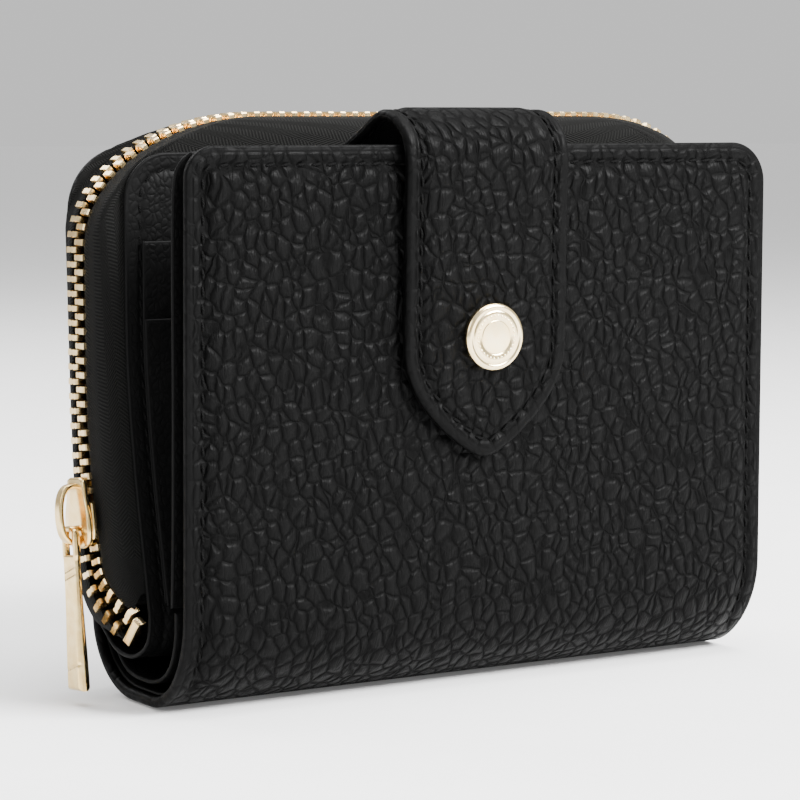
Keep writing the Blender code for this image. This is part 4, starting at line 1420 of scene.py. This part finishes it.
    def rim(self, half: Callable[[Array], Array], top: float, radius: float, depth: Callable[[Array], Array],
            foot: float, counts: tuple[int, int, int], across: int) -> tuple[Array, Array]:
        """A panel's edge from its left foot over the top to its right foot, and its outward direction."""
        heights = np.concatenate([np.linspace(foot, self.foot_z, counts[0], endpoint=False),
                                  np.linspace(self.foot_z, top - radius, counts[1], endpoint=False)])
        turn = np.radians(np.linspace(0.0, 90.0, counts[2]))
        x = np.concatenate([half(heights), half(np.array(top - radius)) - radius + radius * np.cos(turn)])
        z = np.concatenate([heights, top - radius + radius * np.sin(turn)])
        out_x = np.concatenate([np.ones(len(heights)), np.cos(turn)])
        out_z = np.concatenate([np.zeros(len(heights)), np.sin(turn)])
        left, out = np.column_stack([-x, depth(z), z]), np.column_stack([-out_x, np.zeros(len(x)), out_z])
        share = np.linspace(0.0, 1.0, across + 2)[1:-1, None]
        right, out_right = (left * (-1, 1, 1))[::-1], (out * (-1, 1, 1))[::-1]
        line = np.vstack([left, left[-1] + (right[0] - left[-1]) * share, right])
        return line, np.vstack([out, np.tile(UP, (across, 1)), out_right])

    def build_tape(self, row: int, rim: Array, outward: Array, sunk: float, counts: tuple[int, int, int],
                   top: int, name: str, node: str) -> None:
        """One tape: from a hem under its panel's edge it bulges out and turns in to the teeth's legs.

        Args:
            row: -1 in front, 1 behind.
            rim: The panel's edge.
            outward: The panel's outward directions.
            sunk: Depth of the hem behind the panel's face.
            counts: Points on the foot, the upright and the corner.
            top: Points on the top run.
            name: Piece name.
            node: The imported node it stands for.
        """
        line = self.line(counts, top)
        _, across, _ = self.axes(line)
        inward = np.array((0.0, -float(row), 0.0))
        edge = line + row * (self.clasp + self.parting(line[:, 2]))[:, None] * across
        hem = rim + inward * sunk
        gap = edge - hem
        out_share = np.sum(gap * outward, axis=1)[:, None] * outward
        deep = (gap @ inward)[:, None] * inward
        rest = gap - out_share - deep
        knots = [hem - self.hem * outward, hem + 0.02 * out_share]
        knots += [hem + a * out_share + b * deep + c * rest for a, b, c in ((0.62, 0.08, 0.3), (0.93, 0.38, 0.7))]
        knots.append(edge)
        sheet = spline(np.stack(knots), 7)
        rows, columns = sheet.shape[:2]
        normal = np.cross(np.gradient(sheet, axis=0), np.gradient(sheet, axis=1))
        normal /= np.linalg.norm(normal, axis=2)[..., None] + 1e-12
        wide = np.concatenate([[np.zeros(columns)],
                               np.cumsum(np.linalg.norm(np.diff(sheet, axis=0), axis=2), axis=0)])
        long = np.repeat(run_lengths(line)[None], rows, axis=0)
        bead = 1.0 + 0.5 * np.exp(-(((np.arange(rows) - rows + 3.0) / 1.6) ** 2))[:, None, None]
        faces_apart = self.tape / 2 * bead * normal
        index = np.arange(rows * columns).reshape(rows, columns)
        under = index + rows * columns
        walls = [np.stack([index[0], under[0]]), np.stack([under[-1], index[-1]]),
                 np.stack([under[:, 0], index[:, 0]]), np.stack([index[:, -1], under[:, -1]])]
        faces = np.vstack([quads_of(index), quads_of(under)[:, ::-1]] + [quads_of(wall) for wall in walls])
        points = np.concatenate([(sheet + faces_apart).reshape(-1, 3), (sheet - faces_apart).reshape(-1, 3)])
        chart = np.column_stack([long.ravel(), (wide[-1][None] - wide).ravel()])
        put(Surface(points, faces.tolist(), chart=np.vstack([chart, chart])), name, self.finishes.tape, Body.SHELL,
            Slot.TAPE, node, crease=60.0)

    def build(self) -> None:
        """Build the tapes, the teeth and the stops."""
        s = self.sizes
        counts, top = (26, 50, 34), 60
        leaf_route = curve_through(LEAF_ROUTE)[::-1]

        def leaf_depth(z: Array) -> Array:
            """The leaf's front face at a height."""
            return np.interp(z, leaf_route[:, 1], leaf_route[:, 0])

        rim, out = self.rim(lambda z: np.full(np.shape(z), s.half), s.leaf_top, s.leaf_corner, leaf_depth, 20 * MM,
                            counts, top)
        self.build_tape(-1, rim, out, (0.9 + 0.25 + 0.3) * MM, counts, top, "front_zip_tape", "zip_tape_front")
        rim, out = self.rim(s.back_half, s.back_top[1], s.back_corner, s.back_y, 15 * MM, counts, top)
        self.build_tape(1, rim, out, 2.3 * MM, counts, top, "back_zip_tape", "zip_tape_back")
        self.build_teeth(-1, "front_teeth", "zip_teeth_front")
        self.build_teeth(1, "back_teeth", "zip_teeth_back")
        for shoulder, name in zip(self.shoulders, ("left", "right")):
            self.build_stop(shoulder, name)

    def build_stop(self, shoulder: tuple, name: str) -> None:
        """The crimped stop at one low end: a rounded bar across both rows."""
        line = self.half_line(shoulder, (40, 10, 10))[:3]
        along, across, outward = (v[0] for v in self.axes(line))
        centre = line[0] - along * 1.3 * MM
        panel = Panel("stop", np.array([(0.0, 0.85 * MM), (0.0, -0.85 * MM)]),
                      even(2.9 * MM), 2.3 * MM,
                      lip=0.4 * MM, rings=6, margin=0.6 * MM, pitch=0.6 * MM)
        turn = Matrix((across, outward, along)).transposed().to_4x4()
        place = Matrix.Translation(Vector(centre)) @ turn @ Matrix.Translation((0, -1.15 * MM, 0))
        made = panel.surface().moved(place)
        put(Surface(made.points, made.faces), f"stop_{name}", self.finishes.teeth, Body.SHELL, Slot.ZIP_METAL,
            f"zip_stop_{name}", crease=40.0)


@dataclass
class Slider:
    """The slider that runs on the chain: an outer and an inner plate, side flanges and an arched bridge."""

    finishes: Finishes
    chain: ZipChain
    sizes: Sizes = SIZES
    outline_points: tuple = ((6.2, 2.3), (5.4, 3.2), (2.5, 3.7), (-0.6, 4.6), (-3.6, 4.85), (-5.5, 4.2), (-6.3, 2.3))
    bridge_route: tuple = ((-2.6, -5.9), (-4.4, -5.5), (-5.75, -4.1), (-6.3, -1.8), (-6.3, 1.2), (-5.75, 3.5),
                           (-4.6, 4.9), (-2.6, 5.3))

    def place(self) -> Matrix:
        """The slider's own axes: X outwards from the chain's middle is -X, Z up the leaning chain."""
        z = self.sizes.slider_z
        return (Matrix.Translation((-self.sizes.chain_x, float(self.chain.depth_at(z)), z))
                @ Matrix.Rotation(-self.sizes.slider_tilt, 4, "X"))

    def plate(self, near: float, thickness: float, scale: float, dome: float, lip: float) -> Surface:
        """One plate: the outline widens from its nose to its lower third; its outer face is a shallow dome.

        Args:
            near: Distance of its outer face from the chain's middle, negative outwards.
            thickness: Its thickness.
            scale: Share of the outline's width.
            dome: Height of the dome.
            lip: Radius of the rounded edges.

        Returns:
            The plate in the slider's own axes.
        """
        knots = curve_through([(h, w) for h, w in self.outline_points], 8)
        heights, widths = knots[::-1].T
        top, low = heights[-1], heights[0]

        def outline(place: Array) -> tuple[Array, Array]:
            """Half-width from the curve through the outline's points."""
            z = place[:, 1]
            ends = np.sqrt(np.clip(np.minimum(top - z, z - low) / (0.5 * MM), 0.02, 1.0))
            half = np.interp(z, heights, widths) * scale * (0.86 + 0.14 * ends)
            return half, half

        def crown(distance: Array, across: Array, along: Array) -> Array:
            """A dome that grows with the distance from the edge."""
            return dome * smooth(distance / (2.6 * MM))

        panel = Panel("plate", np.array([(0.0, top), (0.0, low)]), outline, thickness, outer=crown, lip=lip,
                      rings=12, margin=1.6 * MM, pitch=0.5 * MM)
        made = panel.surface()
        quarter = Matrix.Rotation(-math.pi / 2, 4, "Z")
        return Surface(made.points, made.faces).moved(Matrix.Translation((near, 0, 0)) @ quarter)

    def strip(self, route: Array, half: float, thickness: float, lip: float) -> Surface:
        """A band of even width along Y whose route lies in the slider's X-Z plane."""
        panel = Panel("strip", route, even(half), thickness, lip=lip, rings=8, margin=0.6 * MM, pitch=0.4 * MM)
        made = panel.surface()
        return Surface(made.points, made.faces).moved(Matrix.Rotation(-math.pi / 2, 4, "Z"))

    def build(self) -> None:
        """Build the body and the bridge."""
        outer = self.plate(-2.75 * MM, 1.05 * MM, 1.0, 0.28 * MM, 0.35 * MM)
        inner = self.plate(1.7 * MM, 0.85 * MM, 0.76, 0.0, 0.3 * MM)
        body = outer.joined(inner)
        route = curve_through(((4.45, 1.6), (4.72, -0.8), (4.8, -3.2), (4.5, -4.6)), 6)
        flange = Panel("flange", route, even(0.42 * MM), 0.55 * MM, lip=0.2 * MM, rings=6, margin=0.3 * MM,
                       pitch=0.3 * MM).surface()
        for side in (-1, 1):
            moved = flange.points * (1, side, 1) - (1.45 * MM, side * 0.2 * MM, 0)
            body = body.joined(Surface(moved, flange.faces))
        post = Panel("post", np.array([(0.0, -2.5 * MM), (0.0, -5.6 * MM)]), even(1.85 * MM), 0.5 * MM,
                     lip=0.2 * MM, rings=6, margin=0.5 * MM, pitch=0.6 * MM).surface()
        body = body.joined(Surface(post.points - (0, 0.25 * MM, 0), post.faces))
        put(body.moved(self.place()), "slider_shell", self.finishes.gold, Body.SLIDER, Slot.ZIP_METAL,
            "slider_body", crease=SLIDER_CREASE)
        route = curve_through(self.bridge_route, 10)
        bridge = self.strip(route[::-1], 1.15 * MM, 0.90 * MM, 0.3 * MM).moved(self.place())
        put(bridge, "slider_arch", self.finishes.gold, Body.SLIDER, Slot.ZIP_METAL, "slider_bridge",
            crease=SLIDER_CREASE)


@dataclass
class Pull:
    """The pull: a loop round the bridge, and a bar with engraved slanted lines that thickens to its foot."""

    finishes: Finishes
    slider: Slider
    pivot: tuple[float, float, float] = (-3.95 * MM, 0.0, -2.9 * MM)
    loop: tuple[float, float, float, float] = (2.15 * MM, 0.1 * MM, -5.0 * MM, 0.50 * MM)
    lines: tuple = ((-7.0, 0.28), (-8.3, 0.28), (-24.4, 0.28))

    def build(self) -> None:
        """Build the loop and the bar as one piece."""
        half, top, low, arm = self.loop
        corners = ((-half, low), (-half, top - 0.9 * MM), (-half + 0.35 * MM, top - 0.25 * MM), (-half + 1.0 * MM, top),
                   (half - 1.0 * MM, top), (half - 0.35 * MM, top - 0.25 * MM), (half, top - 0.9 * MM), (half, low))
        path = evenly(np.array(corners + ((-half, low),)), 0.3 * MM)[:-1]
        heading = np.roll(path, -1, axis=0) - np.roll(path, 1, axis=0)
        heading /= np.linalg.norm(heading, axis=1)[:, None]
        aside = np.column_stack([heading[:, 1], -heading[:, 0]])
        turn = np.linspace(0.0, 2 * math.pi, 16, endpoint=False)
        flat = np.sign(np.cos(turn)) * np.abs(np.cos(turn)) ** 0.5
        tall = np.sign(np.sin(turn)) * np.abs(np.sin(turn)) ** 0.5
        yz = path[:, None, :] + arm * aside[:, None, :] * flat[None, :, None]
        x = np.repeat((0.62 * MM * tall)[None], len(path), axis=0)
        points = np.concatenate([x[..., None], yz], axis=2).reshape(-1, 3)
        index = np.arange(len(points)).reshape(len(path), 16)
        index = np.vstack([index, index[:1]])
        index = np.hstack([index, index[:, :1]])
        ring = Surface(points, quads_of(index).tolist())

        def outline(place: Array) -> tuple[Array, Array]:
            """Sides that spread from the loop to the foot."""
            width = np.interp(-place[:, 1], (4.6 * MM, 28.5 * MM), (2.42 * MM, 2.75 * MM))
            return width, width

        def engraved(distance: Array, across: Array, along: Array) -> Array:
            """The face thickens towards the foot, less a narrow bell at each slanted line."""
            z = -4.8 * MM - along
            swell = 0.5 * MM * smooth((along - 1 * MM) / (21 * MM))
            cut = sum(np.exp(-(((z - line * MM - slope * across) / (0.17 * MM)) ** 2)) for line, slope in self.lines)
            return swell - 0.16 * MM * cut

        def swelling(distance: Array, across: Array, along: Array) -> Array:
            """The back face thickens in the same way."""
            return 0.5 * MM * smooth((along - 1 * MM) / (21 * MM))

        bar = Panel("bar", np.array([(0.0, -4.8 * MM), (0.0, -28.5 * MM)]), outline, 1.2 * MM, outer=engraved,
                    inner=swelling, lip=0.28 * MM, rings=12, margin=1.4 * MM, pitch=0.22 * MM).surface()
        moved = Surface(bar.points, bar.faces).moved(Matrix.Translation((-0.6 * MM, 0, 0))
                                                      @ Matrix.Rotation(-math.pi / 2, 4, "Z"))
        place = self.slider.place() @ Matrix.Translation(self.pivot)
        put(ring.joined(moved).moved(place), "pull_bar", self.finishes.gold, Body.PULL, Slot.ZIP_METAL, "zip_pull",
            crease=SLIDER_CREASE)


# --- strap -------------------------------------------------------------------------------------------


@dataclass
class Strap:
    """The snap strap: turned leather from the leaf, over the top in an arch and down the cover to a point."""

    finishes: Finishes
    sizes: Sizes = SIZES
    edge: float = 2.05 * MM
    skin: float = 1.1 * MM
    tip_z: float = 42.2 * MM
    straight_z: float = 62.0 * MM
    blunt: float = 0.08
    seam: float = 3.0 * MM
    hinge: tuple = (Body.SHELL, Body.STRAP, *blend_line(-12.0 * MM, 4.3 * MM, math.radians(10.0), -1.0))

    def route(self) -> Array:
        """The outer face, from the base up, over the arch and down to the tip."""
        top = curve_through(STRAP_BASE_ROUTE + STRAP_ARCH_ROUTE[1:])
        heights = np.linspace(84.0 * MM, self.tip_z, 60)
        face = np.column_stack([self.sizes.front_y(heights) - self.sizes.standoff, heights])
        return np.vstack([top, face])

    def outline(self, place: Array) -> tuple[Array, Array]:
        """Even half-width, then a parabola to a point that a hyperbola blunts."""
        share = np.clip((place[:, 1] - self.tip_z) / (self.straight_z - self.tip_z), 0.0004, 1.0)
        share = np.sqrt(share**2 + 2 * self.blunt * share) / math.sqrt(1 + 2 * self.blunt)
        half = self.sizes.strap_half * (1.0 - (1.0 - share)**2)
        return half, half

    def under(self, distance: Array, across: Array, along: Array) -> Array:
        """The inner face drops from the turned edge to the skin's own thickness."""
        return -(self.edge - self.skin) * smooth((distance - 1.5 * MM) / (0.5 * MM))

    def build(self) -> Panel:
        """Build the leather, its thread and the lining.

        Returns:
            The leather's panel.
        """
        relief = Relief(self.seam, 0.05 * MM, 0.30 * MM, 2.6 * MM, 0.42 * MM, 0.6 * MM, 0.05 * MM)
        panel = Panel("strap_outer_leather", self.route(), self.outline, self.edge, outer=relief, inner=self.under,
                      lip=0.95 * MM, centre=self.sizes.strap_x, pitch=1.0 * MM, rings=28, margin=6.5 * MM,
                      calm_depth=1.9 * MM, pressed=0.25)
        put(panel.surface(), panel.name, self.finishes.pebbled, self.hinge, Slot.LEATHER, "strap_leather",
            "strap_base")
        line = panel.inset(self.seam)
        breaks = np.linalg.norm(np.diff(np.vstack([line, line[:1]]), axis=0), axis=1)
        line = np.roll(line, -int(np.argmax(breaks)) - 1, axis=0)
        thread = Stitching().sew(panel, line, -0.22 * MM, closed=False)
        put(thread, "strap_thread", self.finishes.thread, self.hinge, Slot.LEATHER)
        route = evenly(self.route(), 0.5 * MM)
        inward = leftward(route)
        inner = route + inward * (self.edge - 0.72 * MM)
        inner = inner[4:-7]

        def outline(place: Array) -> tuple[Array, Array]:
            """The leather's outline less its turned edge."""
            half, _ = self.outline(place)
            return np.maximum(half - 1.7 * MM, 0.5 * MM), np.maximum(half - 1.7 * MM, 0.5 * MM)

        lining = Panel("strap_inner_lining", inner, outline, 0.7 * MM, centre=self.sizes.strap_x, rings=12,
                       pitch=1.8 * MM, margin=4 * MM, calm_depth=0.5 * MM)
        put(lining.surface(), lining.name, self.finishes.lining, self.hinge, Slot.LINING, "strap_lining")
        return panel


@dataclass
class Snap:
    """The snap fastener: a bevelled cap with a ring of dots, a socket under it and a stud on the cover."""

    finishes: Finishes
    sizes: Sizes = SIZES
    crease: float = 40.0
    dots: int = 30

    def place(self, lift: float) -> Matrix:
        """Axes whose Z is the cover face's outward normal, this far off the face at the snap."""
        lean = self.sizes.lean()
        z = self.sizes.snap_z
        spot = (self.sizes.snap_x, float(self.sizes.front_y(z)) - lift * math.cos(lean), z - lift * math.sin(lean))
        return Matrix.Translation(spot) @ Matrix.Rotation(math.pi / 2 + lean, 4, "X")

    def build(self) -> None:
        """Build the cap, the socket and the stud."""
        place = self.place(self.sizes.standoff)
        profile = ((1.3, -1.15), (1.3, 0.2), (5.5, 0.2), (5.95, 0.42), (6.08, 0.75), (6.08, 1.15), (5.98, 1.42),
                   (5.72, 1.66), (5.4, 1.76), (5.2, 1.74), (5.05, 1.66), (4.9, 1.62), (4.72, 1.64), (4.6, 1.72),
                   (4.45, 1.75), (3.2, 1.78), (3.12, 1.72), (3.04, 1.70), (2.96, 1.72), (2.88, 1.79), (1.2, 1.82),
                   (0.05, 1.83))
        cap = lathe(profile, 96, place)
        turn = np.linspace(0.0, 2 * math.pi, self.dots, endpoint=False)
        middle = np.column_stack([3.85 * MM * np.cos(turn), 3.85 * MM * np.sin(turn), np.full(self.dots, 1.72 * MM)])
        polar = np.linspace(0.15, math.pi / 2, 4)[:, None]
        spin = np.linspace(0.0, 2 * math.pi, 8, endpoint=False)[None]
        bead = np.stack([0.27 * MM * np.sin(polar) * np.cos(spin), 0.27 * MM * np.sin(polar) * np.sin(spin),
                         0.17 * MM * np.cos(polar) * np.ones_like(spin)], axis=-1).reshape(-1, 3)
        axes = np.tile(np.eye(3), (self.dots, 1, 1))
        beads = scattered(bead, grid_faces(4, 8, wrap=True), middle, axes)
        starts = np.arange(self.dots)[:, None] * len(bead)
        beads.faces += (starts + np.arange(8)[None, ::-1]).tolist() + (starts + 24 + np.arange(8)[None]).tolist()
        put(cap.joined(beads.moved(place)), "cap", self.finishes.cap, Body.STRAP, Slot.SNAP_METAL, "snap_cap",
            crease=self.crease)
        rings = ((2.1, -1.7), (2.1, -2.05), (2.25, -2.2), (2.9, -2.22), (4.6, -2.2), (4.95, -2.0), (5.0, -1.8),
                 (4.95, -1.45), (2.2, -1.4))
        put(self.hoop(rings, place), "socket", self.finishes.cap, Body.STRAP, Slot.SNAP_METAL, "snap_socket",
            crease=self.crease)
        stud_profile = ((4.0, -1.5), (4.0, -1.15), (1.9, -1.12), (1.72, -0.9), (1.66, -0.1), (1.78, 0.12), (1.86, 0.3),
                        (1.78, 0.46), (1.5, 0.57), (0.9, 0.62), (0.05, 0.63))
        stud = lathe(stud_profile, 48, self.place(0.0))
        put(stud, "stud", self.finishes.cap, Body.COVER, Slot.SNAP_METAL, "snap_stud", crease=self.crease)

    def hoop(self, rings: Sequence[Sequence[float]], place: Matrix) -> Surface:
        """A ring: a closed profile carried round the local Z axis."""
        radii, heights = (np.array(rings, float) * MM).T
        turn = np.linspace(0.0, 2 * math.pi, 48, endpoint=False)
        points = np.stack([radii[:, None] * np.cos(turn), radii[:, None] * np.sin(turn),
                           np.repeat(heights[:, None], 48, axis=1)], axis=-1).reshape(-1, 3)
        index = np.arange(len(points)).reshape(len(radii), 48)
        index = np.vstack([index, index[:1]])
        index = np.hstack([index, index[:, :1]])
        return Surface(points, quads_of(index).tolist()).moved(place)


# --- stage -------------------------------------------------------------------------------------------


@dataclass(frozen=True)
class Lamp:
    """A soft square lamp."""

    name: str
    place: tuple[float, float, float]
    size: float
    power: float


@dataclass
class Stage:
    """The pale floor, the lamps, the surrounding light and the camera."""

    finishes: Finishes
    lamps: tuple[Lamp, ...] = (
        Lamp("key", (0.42, -0.64, 0.62), 0.40, 37.0),
        Lamp("top", (0.15, -0.10, 0.80), 0.50, 11.0),
        Lamp("fill", (-0.85, -0.35, 0.50), 0.50, 3.0),
        Lamp("rear", (-0.2, 0.7, 0.7), 0.60, 8.0))
    target: tuple[float, float, float] = (-7.697 * MM, -0.5 * MM, 51.076 * MM)
    yaw: float = math.radians(31.845)
    pitch: float = math.radians(5.402)
    roll: float = math.radians(-0.201)
    distance: float = 0.5272
    reach: float = 30.0
    lens: float = 128.325

    def build(self) -> None:
        """Build everything round the wallet."""
        floor = Surface(self.reach * np.array(((-1.0, -1.0, 0.0), (1.0, -1.0, 0.0), (1.0, 1.0, 0.0), (-1.0, 1.0, 0.0)))
                        - (0.0, 0.0, 0.3 * MM),
                        [[0, 1, 2, 3]]).make("floor", self.finishes.paper)
        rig.stage(floor)
        world = bpy.data.worlds.new("surround")
        world.use_nodes = True
        world.node_tree.nodes["Background"].inputs["Color"].default_value = (1.0, 1.0, 1.0, 1.0)
        world.node_tree.nodes["Background"].inputs["Strength"].default_value = 0.75
        bpy.context.scene.world = world
        for lamp in self.lamps:
            data = bpy.data.lights.new(lamp.name, "AREA")
            data.shape, data.size, data.energy = "SQUARE", lamp.size, lamp.power
            made = bpy.data.objects.new(lamp.name, data)
            made.location = lamp.place
            made.rotation_euler = (Vector((0.0, 0.0, 0.05)) - Vector(lamp.place)).to_track_quat("-Z", "Y").to_euler()
            bpy.context.scene.collection.objects.link(made)
        self.aim()

    def aim(self) -> None:
        """Place the camera on its line to the target, rolled about that line."""
        back = Vector((-math.sin(self.yaw) * math.cos(self.pitch), -math.cos(self.yaw) * math.cos(self.pitch),
                       math.sin(self.pitch)))
        right = (-back).cross(Vector((0, 0, 1))).normalized()
        up = right.cross(-back)
        across = math.cos(self.roll) * right + math.sin(self.roll) * up
        upward = -math.sin(self.roll) * right + math.cos(self.roll) * up
        data = bpy.data.cameras.new("view")
        data.lens, data.sensor_width = self.lens, 36.0
        data.clip_start, data.clip_end = 0.01, 20.0
        camera = bpy.data.objects.new("view", data)
        turn = Matrix((across, upward, back)).transposed().to_4x4()
        camera.matrix_world = Matrix.Translation(Vector(self.target) + back * self.distance) @ turn
        bpy.context.scene.collection.objects.link(camera)
        bpy.context.scene.camera = camera


def dress_packed(finishes: Finishes) -> None:
    """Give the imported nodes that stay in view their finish."""
    for name in ("front_board", "back_board"):
        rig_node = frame["nodes"][name]
        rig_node.data.materials.clear()
        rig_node.data.materials.append(finishes.board)


def main() -> None:
    """Build the wallet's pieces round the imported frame."""
    logging.basicConfig(level=logging.INFO, format="%(name)s: %(message)s")
    for start in [o for o in bpy.context.scene.objects if o.name in ("Cube", "Light", "Camera")]:
        bpy.data.objects.remove(start)
    finishes = Finishes()
    OuterLeather(finishes).build()
    CardPanel(finishes).build()
    Compartment(finishes).build()
    chain = ZipChain(finishes)
    chain.build()
    slider = Slider(finishes, chain)
    slider.build()
    Pull(finishes, slider).build()
    Strap(finishes).build()
    Snap(finishes).build()
    dress_packed(finishes)
    Stage(finishes).build()
    boxes = {"cad": CAD_BOX, "visual": [list(corner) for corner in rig.bounds()]}
    with open("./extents.json", "w", encoding="utf-8") as out:
        json.dump(boxes, out)


if __name__ == "__main__":
    main()
